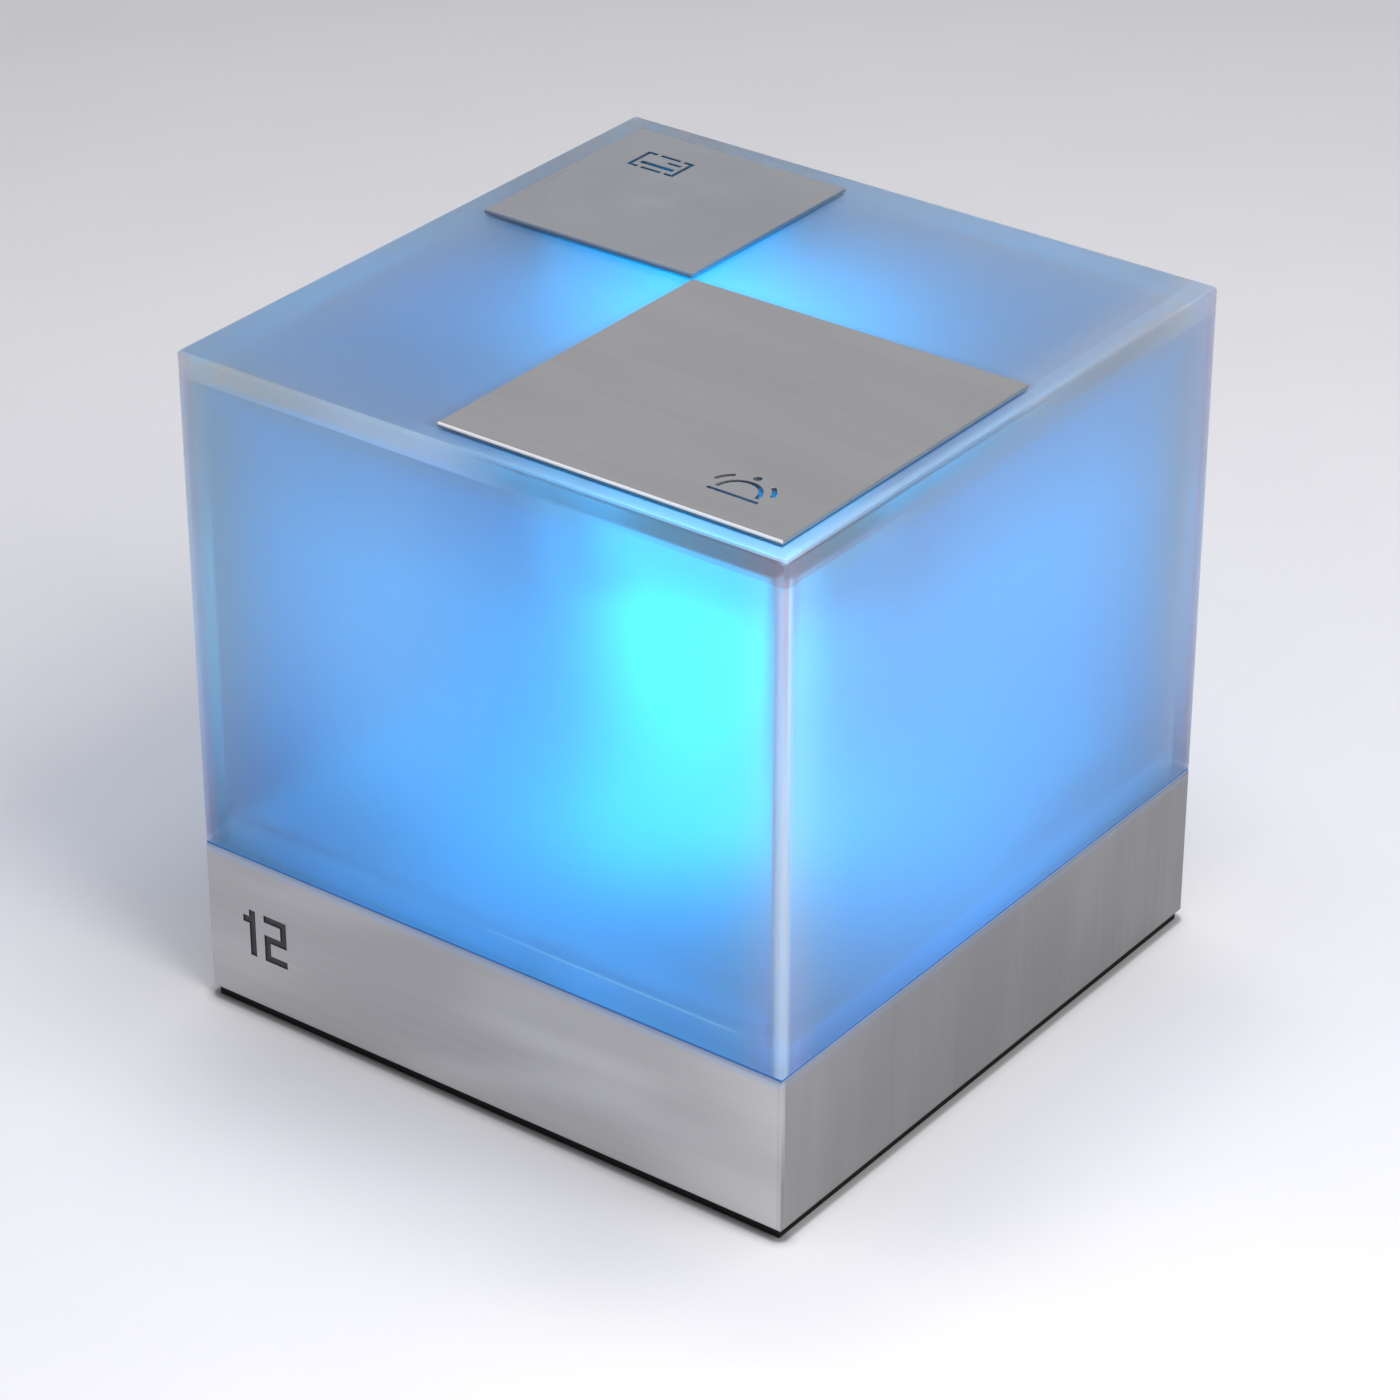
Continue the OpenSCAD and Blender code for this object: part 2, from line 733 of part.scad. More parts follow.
module main_board() {
  color([0.06, 0.3, 0.17]) translate([0, 0, post_top]) difference() {
    translate([-board_half, -board_front, 0]) cube([2 * board_half, board_front + board_rear, board_t]);
    at_board_screws() translate([0, 0, -over])
      cylinder(d = board_screw_d + 2 * screw_play, h = board_t + 2 * over);
  }
}

module led_board_socket() {
  color([0.12, 0.12, 0.13]) rotate(service_turn) translate([0, 0, board_top]) difference() {
    box(led_socket);
    translate([0, 0, led_socket_floor])
      box([led_board_t + 2 * slip, led_board_w + 2 * slip, led_socket[2]]);
  }
}

module radio_module() {
  color([0.75, 0.76, 0.78]) translate(radio_at) translate([0, 0, board_top]) {
    box(radio_board);
    translate([0, radio_shield_y, radio_board[2]]) box(radio_shield);
  }
}

// Processor and charger, choke and capacitors, and a row of small parts
module board_chips() {
  color([0.1, 0.1, 0.11]) translate([0, 0, board_top]) {
    translate(processor_at) box(processor);
    translate(charger_at) box(charger);
    translate(choke_at) cylinder(d = choke_d, h = choke_h);
    for (i = [0, 1]) translate(can_at + [0, i * can_pitch, 0]) cylinder(d = can_d, h = can_h);
    for (i = [0:small_count - 1]) translate(small_at + [0, i * small_pitch, 0]) box(small_part);
  }
}

module battery_shape(t) {
  translate([-board_half, battery_front, 0])
    cube([2 * board_half, battery_rear - battery_front, t]);
}

module battery() {
  color([0.62, 0.66, 0.72]) translate([0, 0, battery_z]) battery_shape(battery_t);
}

module battery_pad() {
  color([0.2, 0.2, 0.22]) translate([0, 0, base_top]) battery_shape(battery_pad_t);
}

module at_leads() {
  for (side = [-1, 1])
    translate([battery_plug_x + side * lead_pitch / 2, battery_front, lead_z])
      rotate([90, 0, 0]) children();
}

module battery_lead() {
  color([0.75, 0.1, 0.1]) at_leads()
    cylinder(d = lead_d, h = battery_front - battery_plug_back + lead_grip);
}

module battery_plug() {
  color([0.93, 0.92, 0.88]) difference() {
    translate([battery_plug_x, battery_plug_back - battery_plug_size[1] / 2, board_top])
      box(battery_plug_size);
    at_leads()
      cylinder(d = lead_d + 2 * screw_play, h = battery_front - battery_plug_back + lead_grip + 0.2);
  }
}

module charge_contacts() {
  color([0.9, 0.72, 0.3]) at_contacts() translate([0, 0, rim_z + contact_sink - contact_head_t]) {
    cylinder(d = contact_head_d, h = contact_head_t);
    cylinder(d = contact_pin_d, h = post_top - rim_z - contact_sink + contact_head_t);
  }
}

// The power switch is drawn at the middle of its travel; its slider rests at the off end
slider_rest = -power_travel / 2;
switch_case_z = post_top - switch_case[2];
slider_z = switch_case_z + switch_wall;

module power_switch_body() {
  inside = [for (side = switch_case) side - 2 * switch_wall];
  color([0.72, 0.73, 0.75]) translate(power_at) difference() {
    translate([0, 0, switch_case_z]) box(switch_case);
    translate([0, 0, slider_z]) box(inside);
    translate([0, 0, switch_case_z - over])
      box([stem[0] + power_travel + 2 * stem_room, stem[1] + 2 * stem_room, switch_wall + 2 * over]);
  }
}

module power_actuator() {
  stem_end = knob_z + knob[2] - knob_pocket;
  color([0.15, 0.15, 0.16]) translate(power_at) translate([slider_rest, 0, 0]) {
    translate([0, 0, slider_z]) box(slider);
    translate([0, 0, stem_end]) box([stem[0], stem[1], slider_z - stem_end]);
  }
}

module power_knob() {
  color([0.2, 0.2, 0.21]) translate(power_at) translate([slider_rest, 0, knob_z]) difference() {
    union() {
      box(knob);
      for (x = [-1:1]) translate([3 * ridge_w * x, 0, -ridge_h]) box([ridge_w, knob[1], ridge_h]);
    }
    translate([0, 0, knob[2] - knob_pocket])
      box([stem[0] + 2 * screw_play, stem[1] + 2 * screw_play, knob_pocket + over]);
  }
}

module case_screws() {
  color([0.7, 0.71, 0.73]) at_corners(boss_xy) translate([0, 0, case_seat_z])
    screw_up(case_screw_d, case_screw_end - case_seat_z, case_head_d, case_head_t);
}

module board_screws() {
  color([0.7, 0.71, 0.73]) at_board_screws() translate([0, 0, board_top]) mirror([0, 0, 1])
    screw_up(board_screw_d, board_top - board_screw_end, board_head_d, board_head_t);
}

module service_plate() {
  sign_x = service_side / 2 - sign_margin - bell_h;
  color([0.62, 0.62, 0.63]) translate(service_at)
    touch_plate(service_side, [sign_x, sign_margin - service_side / 2], 0) bell_sign();
}

module pay_plate() {
  sign_x = sign_margin + card_h * 0.75 - pay_side / 2;
  color([0.6, 0.62, 0.64]) translate(pay_at)
    touch_plate(pay_side, [sign_x, pay_side / 2 - sign_margin], 180) card_sign();
}

cover();
cover_seal();
base_band();
base_plate();
foot_pad();
deck();

service_plate();
translate(service_at) plunger();  // service_plunger
translate(service_at) nut();  // service_nut
translate(service_at) guide_bush();  // service_guide_bush
translate(service_at) return_spring();  // service_return_spring
translate(service_at) switch_carrier();  // service_switch_carrier
translate(service_at) switch_board();  // service_switch_board
translate(service_at) tact_switch();  // service_tact_switch
translate(service_at) switch_key();  // service_switch_key
translate(service_at) carrier_screws();  // service_carrier_screws
rotate(service_turn) ribbon_plug(service_c);  // service_ribbon_plug
rotate(service_turn) ribbon(service_c);  // service_ribbon

pay_plate();
translate(pay_at) plunger();  // pay_plunger
translate(pay_at) nut();  // pay_nut
translate(pay_at) guide_bush();  // pay_guide_bush
translate(pay_at) return_spring();  // pay_return_spring
translate(pay_at) switch_carrier();  // pay_switch_carrier
translate(pay_at) switch_board();  // pay_switch_board
translate(pay_at) tact_switch();  // pay_tact_switch
translate(pay_at) switch_key();  // pay_switch_key
translate(pay_at) carrier_screws();  // pay_carrier_screws
rotate(pay_turn) ribbon_plug(pay_c);  // pay_ribbon_plug
rotate(pay_turn) ribbon(pay_c);  // pay_ribbon

light_column();
column_cap();
led_board();
leds();
head_sockets();

main_board();
led_board_socket();
radio_module();
board_chips();
battery();
battery_pad();
battery_lead();
battery_plug();

charge_contacts();
power_switch_body();
power_actuator();
power_knob();
case_screws();
board_screws();
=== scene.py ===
import math
from types import SimpleNamespace

import bmesh
import bpy
from mathutils import Matrix, Vector


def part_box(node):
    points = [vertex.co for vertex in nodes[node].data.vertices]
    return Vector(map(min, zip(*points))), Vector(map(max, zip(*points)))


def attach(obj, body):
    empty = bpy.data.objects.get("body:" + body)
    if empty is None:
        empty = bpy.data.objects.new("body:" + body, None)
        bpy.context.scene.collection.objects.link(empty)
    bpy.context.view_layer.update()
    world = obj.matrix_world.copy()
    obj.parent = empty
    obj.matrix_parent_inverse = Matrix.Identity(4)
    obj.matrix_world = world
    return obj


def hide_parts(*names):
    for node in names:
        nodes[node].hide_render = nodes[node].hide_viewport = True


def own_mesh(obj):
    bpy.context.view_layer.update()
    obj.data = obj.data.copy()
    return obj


# Table call button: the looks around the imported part. Metres, front towards -Y.
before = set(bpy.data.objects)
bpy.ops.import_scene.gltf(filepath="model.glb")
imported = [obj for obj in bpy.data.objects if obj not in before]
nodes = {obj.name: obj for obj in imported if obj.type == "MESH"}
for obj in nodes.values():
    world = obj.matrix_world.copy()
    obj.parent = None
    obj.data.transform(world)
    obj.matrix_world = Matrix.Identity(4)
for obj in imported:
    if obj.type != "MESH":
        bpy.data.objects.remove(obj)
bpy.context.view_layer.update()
serviceBox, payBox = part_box("service_plate"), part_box("pay_plate")
scene = bpy.context.scene
scene.view_settings.view_transform = "Standard"
mm = 0.001
print("frame loaded:", len(nodes), "nodes")

# Camera: three quarter view from the front right, a little above
cameraView = {
    "azimuth": 36.81,  # degrees from the front, towards the right
    "elevation": 29.729,
    "distance": 0.53107,
    "target": (0.001254, -0.002398, 0.035522),
    "lens": 122.45,
    "sensor": 36,
}


def lookAxes(azimuth, elevation):
    a, e = math.radians(azimuth), math.radians(elevation)
    right = Vector((math.cos(a), math.sin(a), 0))
    up = Vector((-math.sin(a) * math.sin(e), math.cos(a) * math.sin(e), math.cos(e)))
    return right, up, right.cross(up)


def addCamera(view):
    data = bpy.data.cameras.new("tableCamera")
    data.lens, data.sensor_width = view["lens"], view["sensor"]
    camera = bpy.data.objects.new("tableCamera", data)
    scene.collection.objects.link(camera)
    right, up, back = lookAxes(view["azimuth"], view["elevation"])
    place = Matrix((right, up, back)).transposed().to_4x4()
    place.translation = Vector(view["target"]) + back * view["distance"]
    camera.matrix_world = place
    scene.camera = camera


addCamera(cameraView)
print("camera placed")


# Small helpers for node trees
def feed(tree, socket, value):
    if isinstance(value, bpy.types.NodeSocket):
        tree.links.new(value, socket)
    elif value is not None:
        socket.default_value = value


def add(tree, kind, *values, **settings):
    node = tree.nodes.new("ShaderNode" + kind)
    for key, value in settings.items():
        setattr(node, key, value)
    for socket, value in zip(node.inputs, values):
        feed(tree, socket, value)
    return node


def maths(tree, what, *values):
    return add(tree, "Math", *values, operation=what).outputs[0]


def vectors(tree, what, *values):
    node = add(tree, "VectorMath", *values, operation=what)
    return node.outputs["Value" if what in ("LENGTH", "DISTANCE") else "Vector"]


def remap(tree, value, low, high, toLow=0.0, toHigh=1.0, curve="LINEAR"):
    return add(tree, "MapRange", value, low, high, toLow, toHigh, interpolation_type=curve).outputs[0]


def smooth(tree, value, low, high, toLow=0.0, toHigh=1.0):
    return remap(tree, value, low, high, toLow, toHigh, "SMOOTHSTEP")


def changes(tree, look):
    # soft and straight changes of a place, with the row of numbers that the look gives under a name
    def soft(place, name):
        return smooth(tree, place, *look[name])

    def straight(place, name):
        return remap(tree, place, *look[name])

    return soft, straight


def above(tree, value, limit):
    return maths(tree, "GREATER_THAN", value, limit)


def below(tree, value, limit):
    return maths(tree, "LESS_THAN", value, limit)


def difference(tree, first, second):
    return maths(tree, "SUBTRACT", first, second)


def flip(tree, share):
    return difference(tree, 1.0, share)


def absolute(tree, value):
    return maths(tree, "ABSOLUTE", value)


def greater(tree, first, second):
    return maths(tree, "MAXIMUM", first, second)


def lesser(tree, first, second):
    return maths(tree, "MINIMUM", first, second)


def product(tree, first, *others):
    for other in others:
        first = maths(tree, "MULTIPLY", first, other)
    return first


def total(tree, first, *others):
    for other in others:
        first = maths(tree, "ADD", first, other)
    return first


def either(tree, share, first, second):
    # first where share is 0, second where it is 1
    return remap(tree, share, 0, 1, first, second)


def blendColours(tree, share, first, second, how="MIX"):
    node = add(tree, "Mix", data_type="RGBA", blend_type=how)
    feed(tree, node.inputs[0], share)
    feed(tree, node.inputs[6], first)
    feed(tree, node.inputs[7], second)
    return node.outputs[2]


def scaleColour(tree, colour, level):
    node = add(tree, "VectorMath", operation="SCALE")
    feed(tree, node.inputs[0], colour[:3] if isinstance(colour, tuple) else colour)
    feed(tree, node.inputs["Scale"], level)
    return node.outputs["Vector"]


def rgb(red, green, blue):
    return (red, green, blue, 1)


def darker(colour, share):
    return tuple(part * share for part in colour[:3]) + (1,)


black = rgb(0, 0, 0)


# Node groups: effects that several finishes share. Places are in millimetres, the same at every pose.
def startGroup(name, takes, gives):
    tree = bpy.data.node_groups.new(name, "ShaderNodeTree")
    for label, value in takes.items():
        tree.interface.new_socket(label, in_out="INPUT", socket_type="NodeSocketFloat").default_value = value
    for label in gives:
        tree.interface.new_socket(label, in_out="OUTPUT", socket_type="NodeSocketFloat")
    return tree, tree.nodes.new("NodeGroupInput").outputs, tree.nodes.new("NodeGroupOutput").inputs


def put(tree, group, **values):
    node = tree.nodes.new("ShaderNodeGroup")
    node.node_tree = group
    for label, value in values.items():
        feed(tree, node.inputs[label], value)
    return node.outputs


def placeInMm(tree):
    spot = add(tree, "TexCoord").outputs["Object"]
    return vectors(tree, "MULTIPLY", spot, (1000, 1000, 1000))


def makePartPlace():
    tree, takes, gives = startGroup("partPlace", {}, ["X", "Y", "Z", "Side"])
    split = add(tree, "SeparateXYZ", placeInMm(tree)).outputs
    for axis in "XYZ":
        feed(tree, gives[axis], split[axis])
    across = greater(tree, absolute(tree, split["X"]), absolute(tree, split["Y"]))
    feed(tree, gives["Side"], across)                    # distance from the upright axis, in squares
    return tree


def scaledNoise(tree, spot, scale, detail):
    noise = add(tree, "TexNoise", spot, noise_dimensions="3D")
    feed(tree, noise.inputs["Scale"], scale)
    noise.inputs["Detail"].default_value = detail
    return noise.outputs["Fac"]


def makeGrain():
    # Fine grain of moulded or cast surfaces, with soft patches over it
    tree, takes, gives = startGroup("fineGrain", {"Size": 0.2, "Patch": 8.0, "Contrast": 0.5},
                                    ["Shade", "Patches", "Height"])
    spot = placeInMm(tree)
    noise = scaledNoise(tree, spot, maths(tree, "DIVIDE", 1.0, takes["Size"]), 3)
    cloud = scaledNoise(tree, spot, maths(tree, "DIVIDE", 1.0, takes["Patch"]), 2)
    half = product(tree, takes["Contrast"], 0.5)
    low, high = difference(tree, 0.5, half), total(tree, 0.5, half)
    feed(tree, gives["Shade"], remap(tree, noise, 0.3, 0.7, low, high))
    feed(tree, gives["Patches"], smooth(tree, cloud, 0.3, 0.7, low, high))
    feed(tree, gives["Height"], noise)
    return tree


brushWork = {
    "fineStretch": 0.12,
    "streakStretch": 0.03,
    "shares": (0.55, 0.45),              # of fine lines and streaks
    "span": (0.32, 0.68),
    "toneAndSheenTilt": (0, 0.16, 0.14),       # radians
    "toneAndSheenScale": (0.022, 0.13, 0.13),
}


def makeBrushLines():
    # Brushed steel: long thin lines, wider streaks, and faint tilted patches of random tone that also serve
    # as painted sheen
    starts = {"Along": 0, "Across": 0, "Up": 0, "Fine": 9.0, "Streak": 1.4}
    tree, takes, gives = startGroup("brushLines", starts, ["Shade", "ToneAndSheen", "Height"])

    def lines(density, stretch):
        spot = add(tree, "CombineXYZ", product(tree, takes["Along"], stretch),
                   product(tree, takes["Across"], density), product(tree, takes["Up"], density))
        return scaledNoise(tree, spot.outputs[0], 1, 2)

    fine = lines(takes["Fine"], brushWork["fineStretch"])
    streak = lines(takes["Streak"], brushWork["streakStretch"])
    place = add(tree, "CombineXYZ", takes["Along"], takes["Across"], takes["Up"]).outputs[0]
    tilted = add(tree, "VectorRotate", place, rotation_type="EULER_XYZ")
    tilted.inputs["Rotation"].default_value = brushWork["toneAndSheenTilt"]
    wide = vectors(tree, "MULTIPLY", tilted.outputs[0], brushWork["toneAndSheenScale"])
    toneAndSheen = scaledNoise(tree, wide, 1, 1)
    fineShare, streakShare = brushWork["shares"]
    both = total(tree, product(tree, fine, fineShare), product(tree, streak, streakShare))
    feed(tree, gives["Shade"], remap(tree, both, *brushWork["span"]))
    feed(tree, gives["ToneAndSheen"], smooth(tree, toneAndSheen, 0.3, 0.7))
    feed(tree, gives["Height"], fine)
    return tree


# What the light column's wash meets inside the cover, in mm
washPath = {
    "nearest": 7.0,              # outside the column itself
    "deckTop": 18.2,             # nothing gets through the deck
    "topRise": (46, 60),         # the lamps are densest at the top
    "aside": (-10, 25, 3.5, 4),  # and most of all towards the large plate, on X minus Y
}


def makeColumnWash():
    # How strongly the light column shines on a point inside the cover: 1 at the wash distance
    tree, takes, gives = startGroup("columnWash", {"Reach": 16.0, "Low": 19.0, "High": 52.0}, ["Wash"])
    split = add(tree, "SeparateXYZ", placeInMm(tree)).outputs
    over = greater(tree, difference(tree, split["Z"], takes["High"]), 0.0)
    under = greater(tree, difference(tree, takes["Low"], split["Z"]), 0.0)
    gap = add(tree, "CombineXYZ", split["X"], split["Y"], total(tree, over, under))
    far = greater(tree, vectors(tree, "LENGTH", gap.outputs[0]), washPath["nearest"])
    wash = maths(tree, "POWER", maths(tree, "DIVIDE", takes["Reach"], far), 2.0)
    inside = above(tree, split["Z"], washPath["deckTop"])
    densest = remap(tree, difference(tree, split["X"], split["Y"]), *washPath["aside"])
    top = smooth(tree, split["Z"], *washPath["topRise"], 1, densest)
    feed(tree, gives["Wash"], product(tree, wash, inside, top))
    return tree


printWork = {"unevenness": 0.55, "trackEdge": (0.05, 0.08, 1, 0), "padEdge": (0.1, 0.13, 1, 0)}


def makeBoardPrint():
    # Copper tracks and pads under the solder mask of a circuit board
    tree, takes, gives = startGroup("boardPrint", {"Pitch": 2.2}, ["Tracks", "Pads", "Height"])
    spot = placeInMm(tree)
    found = {}
    for kind in ("DISTANCE_TO_EDGE", "F1"):
        cells = add(tree, "TexVoronoi", spot, feature=kind, voronoi_dimensions="2D")
        feed(tree, cells.inputs["Scale"], maths(tree, "DIVIDE", 1.0, takes["Pitch"]))
        cells.inputs["Randomness"].default_value = printWork["unevenness"]
        found[kind] = cells.outputs["Distance"]
    tracks = remap(tree, found["DISTANCE_TO_EDGE"], *printWork["trackEdge"])
    pads = remap(tree, found["F1"], *printWork["padEdge"])
    feed(tree, gives["Tracks"], tracks)
    feed(tree, gives["Pads"], pads)
    feed(tree, gives["Height"], greater(tree, tracks, pads))
    return tree


partPlace = makePartPlace()
fineGrain = makeGrain()
brushLines = makeBrushLines()
columnWash = makeColumnWash()
boardPrint = makeBoardPrint()
print("node groups built")

# The blue light, the same for everything that it falls on
blueLight = {
    "colour": rgb(0.0, 0.6, 1.0),       # at the lamps, before the tinted glass
    "scattered": rgb(0.0, 0.445, 1.0),  # in the blasted faces
    "surface": rgb(0.22, 0.55, 0.9),    # on the pane's upper side
}


def startLook(name, **plain):
    look = bpy.data.materials.new(name)
    look.use_nodes = True
    tree = look.node_tree
    shader = tree.nodes["Principled BSDF"]
    for label, value in plain.items():
        shader.inputs[label.replace("_", " ")].default_value = value
    return look, tree, shader.inputs


def addBump(tree, sockets, height, strength, distance):
    bump = add(tree, "Bump")
    bump.inputs["Strength"].default_value = strength
    bump.inputs["Distance"].default_value = distance * mm
    feed(tree, bump.inputs["Height"], height)
    feed(tree, sockets["Normal"], bump.outputs[0])


# Frosted cover: clear outside, sand-blasted inside, where it catches the light of the column.
# A row of two numbers says where a change begins and ends, in mm, on X, Y or Z, outwards from the
# middle, or on X minus Y, which is greatest at the front edge. Two more are its levels there.
coverLook = {
    "clarity": 0.9,               # the rest is milky
    "index": 1.45,
    "outerRoughness": 0.32,
    "innerRoughness": 0.38,
    "roughnessDrift": (0.96, 1.04),
    "innerSide": 37.6,            # the inside faces lie within this distance
    "outerSide": 37.9,            # and the outside faces beyond this one
    "frontAndRight": 37,
    "paneUnder": 78.05,           # just over the pane's underside
    "paneFrom": 77.95,            # and just under it
    "paneTop": 81.0,
    "milledEdge": (78.3, 81.17),  # the pane's, from below to above
    "collarLine": 24.25,          # the deck's collar is glued in below
    "collarTop": 24.1,
    # its tint, which what shines through takes on; the shade and screened tints and the one at the front
    # corner are painted shade
    "tints": {
        "outer": rgb(0.82, 0.9, 0.98),
        "low": rgb(0.42, 0.62, 0.85),       # towards the band
        "lowRise": (18, 76),
        "border": rgb(0.92, 0.82, 0.72),    # near its edges the slab is seen lengthwise
        "borderReach": (26, 38),
        "borderOnTop": (0.3, 1),
        "borderUnderPane": (75, 78.5),
        "borderRise": (20, 45, 0.3, 1),
        "cool": rgb(0.0, 0.5, 0.72),        # on the pane, most on its left
        "coolReach": (4, -16, 0.14, 0.36),
        "coolAtBorder": 0.4,
        "slab": rgb(0.95, 0.66, 0.5),       # at the edges away from the front one
        "slabReach": (40, 10),
        "slabShare": 0.5,
        "cornerShade": rgb(0.85, 0.45, 0.33),      # painted shade on the pane's milled edge at the front corner
        "cornerShadeReach": (52, 74),
        "shade": rgb(0.12, 0.12, 0.13),     # under the plates' edges
        "shadeInset": 0.4,
        "shadeReach": (0.2, 0.5, 1, 0),
        "shadeShare": 0.8,
        "screened": rgb(0.6, 0.33, 0.18),   # behind the large plate, which screens the lamps' light
        "screenReach": (0.8, 2.8, 1, 0),
        "screenShare": 0.42,
        "inner": rgb(0.08, 0.42, 0.85),
        "cloud": rgb(0.5, 0.6, 0.7),
        "cloudShare": 0.05,
    },
    # the light that its blasted faces catch
    "glow": {
        "side": 0.4,                        # in the middle of the patch on each side
        "sideReach": (8, 42),
        "patchHeight": 45,
        "patchShift": 4.5,                  # away from the front corner
        "patchStretch": (0.8, 0.6),         # below and above its middle
        "fadeFrom": (48, 62),               # on the far and on the near sides
        "fadeTo": (68, 78),
        "fadeLevels": (1, 0.15),
        "cornerFront": (3, 30),             # past the large plate's switch, on the corner under it
        "cornerRight": (-28, -37, 0, 0.4),
        "cornerEdge": (35.8, 37.3, 1, 0.05),
        "cornerRise": (43, 76, 0, 1.4),
        "dullness": 0.62,                   # both sides are duller low down, away from that corner
        "dullFront": (6, -24),
        "dullFrontEnd": (-37, -31),
        "dullFrontFall": (40, 27),
        "dullRight": (-4, 20, 0, 1.5),
        "dullRightFall": (33, 25),
        "collarGain": 1.2,                  # in the strip where the collar is glued in
        "collarEnds": (10, 38, 0.02, 0.12),
        "lowRise": (22, 32),
        "lowOnFront": 0.97,
        "paneHeart": (1, 4, 0),             # mm, where the pane is brightest
        "pane": 1.08,
        "paneReach": (4, 32, 1, 0),
        "paneVeil": (14, 40, 0.16, 0),
        "besidePlate": 37.3,                # beyond it, the strip of pane beside the large plate
        "stripFront": (-14, 30, 0, 0.6),
        "stripRight": (-14, -42, 0.07, 0.5),
    },
    # painted light: what its milled edges and its thickness scatter towards the outside
    "paintedScatter": {
        "edge": rgb(0.24, 0.25, 0.26),      # painted highlight: milled edges look paler
        "edgeNear": (38.4, 39.6),
        "edgeRise": (77.5, 78.5, 1, 0.2),
        "edgeFacing": (30, 70, 0.4, 1),
        "edgeFade": 0.4,                    # the front one, near its top
        "warmth": rgb(0.15, 0.0, 0.0),      # and it is warmer there
        "warmFacing": (60, 70),
        "warmRise": (54, 73),
        "halo": rgb(0.055, 0.02, 0.02),     # softly around the front edge
        "haloNear": (33, 38.6),
        "haloFacing": (55, 70),
        "haze": rgb(0.045, 0.045, 0.0),     # over the left part of the front
        "hazeReach": (8, -14),
        "hazeRise": (28, 56),
        "slab": rgb(0.032, 0.0, 0.03),      # at the far ends of the front and the right side
        "slabFront": (-37.4, -38.2),
        "slabRight": (34, 38.2),
        "strip": rgb(0.01, 0.065, 0.15),    # under the collar line on the front
        "stripReach": (4, 16),
        "stripEnd": (34, 39, 1, 0.3),
        "stripTop": (24.3, 24.1),
        "aside": rgb(0.0, 0.01, 0.08),      # under it on the right side
        "asideReach": (14, -4),
        "low": rgb(0.005, 0.05, 0.13),      # a little above that line
        "lowReach": (6, 26),
        "lowFall": (31, 24.5),
        "cornerEnd": (38.6, 37.6),          # both stop at the front edge
        "collar": rgb(0.06, 0.12, 0.08),    # the collar line itself
        "collarWidth": (0.08, 0.2, 1, 0),
        "collarReach": (-8, 16),
        "collarEnd": (36, 32),
        "topRight": rgb(0.07, 0.05, 0.03),  # along the pane's right border
        "topRightReach": (32, 38),
        "topLeft": rgb(0.0, 0.015, 0.07),   # a soft patch on the pane's left part
        "topLeftMiddle": (-23, -11, 0),
        "topLeftReach": (5, 17, 1, 0),
        "ends": rgb(0.07, 0.05, 0.03),      # at the ends of the pane's milled edge
        "endsNear": (20, 37),
        "endsFacing": (40, 70, 1, 0.35),
        "sheen": rgb(0.09, 0.13, 0.23),     # along the left half of its front edge
        "sheenReach": (-36, -12),
        "sheenEnd": (8, -6),
        "foot": rgb(0.0, 0.012, 0.12),      # in the lowest millimetre
        "footFall": (21.6, 20.6),
        "footReach": (8, 28, 1, 0.2),
    },
}


def besidePlate(tree, x, y, box):
    # 1 within a thin frame along the plate's edge
    middle = [(box[0][i] + box[1][i]) / 2 / mm for i in (0, 1)]
    half = (box[1][0] - box[0][0]) / 2 / mm
    offX = absolute(tree, difference(tree, x, middle[0]))
    offY = absolute(tree, difference(tree, y, middle[1]))
    tints = coverLook["tints"]
    away = absolute(tree, difference(tree, greater(tree, offX, offY), half - tints["shadeInset"]))
    return smooth(tree, away, *tints["shadeReach"])


def behindPlate(tree, x, y, box):
    # 1 close behind the plate and on its left
    left = difference(tree, box[0][0] / mm, x)
    back = difference(tree, y, box[1][1] / mm)
    away = greater(tree, left, back)
    share = smooth(tree, away, *coverLook["tints"]["screenReach"])
    beside = product(tree, below(tree, x, box[1][0] / mm), above(tree, y, box[0][1] / mm))
    return product(tree, share, above(tree, away, 0.0), beside)


def sidewaysOf(tree, x, y, onFront, onRight):
    # Distance along a side from the middle of its patch of light
    shift = coverLook["glow"]["patchShift"]
    nearer = lesser(tree, absolute(tree, x), absolute(tree, y))
    sideways = either(tree, onFront, nearer, absolute(tree, total(tree, x, shift)))
    return either(tree, onRight, sideways, absolute(tree, difference(tree, y, shift)))


def coverPlaces(tree, style):
    # Where a point of the cover lies: each mask is 1 there and 0 elsewhere
    spot = put(tree, partPlace)
    x, y, z, side = (spot[label] for label in ("X", "Y", "Z", "Side"))
    low, high = style["milledEdge"]
    onSides = product(tree, below(tree, z, high), above(tree, side, style["outerSide"]))
    onFront = below(tree, y, -style["frontAndRight"])
    onRight = above(tree, x, style["frontAndRight"])
    onTop = above(tree, z, style["paneTop"])
    shaded = greater(tree, besidePlate(tree, x, y, serviceBox), besidePlate(tree, x, y, payBox))
    inward = add(tree, "NewGeometry").outputs["Backfacing"]
    return SimpleNamespace(
        x=x, y=y, z=z, side=side, inward=inward, outward=flip(tree, inward),
        nearer=lesser(tree, absolute(tree, x), absolute(tree, y)),
        facing=difference(tree, x, y),                   # greatest at the front edge
        flat=add(tree, "CombineXYZ", x, y, 0.0).outputs[0],
        blasted=product(tree, below(tree, side, style["innerSide"]), below(tree, z, style["paneUnder"])),
        onTop=onTop, onPane=above(tree, z, style["paneFrom"]), onFront=onFront, onRight=onRight,
        onSides=onSides, onRim=product(tree, onSides, above(tree, z, low)),
        seen=greater(tree, onFront, onRight),            # both of these sides
        shaded=product(tree, shaded, onTop), sideways=sidewaysOf(tree, x, y, onFront, onRight))


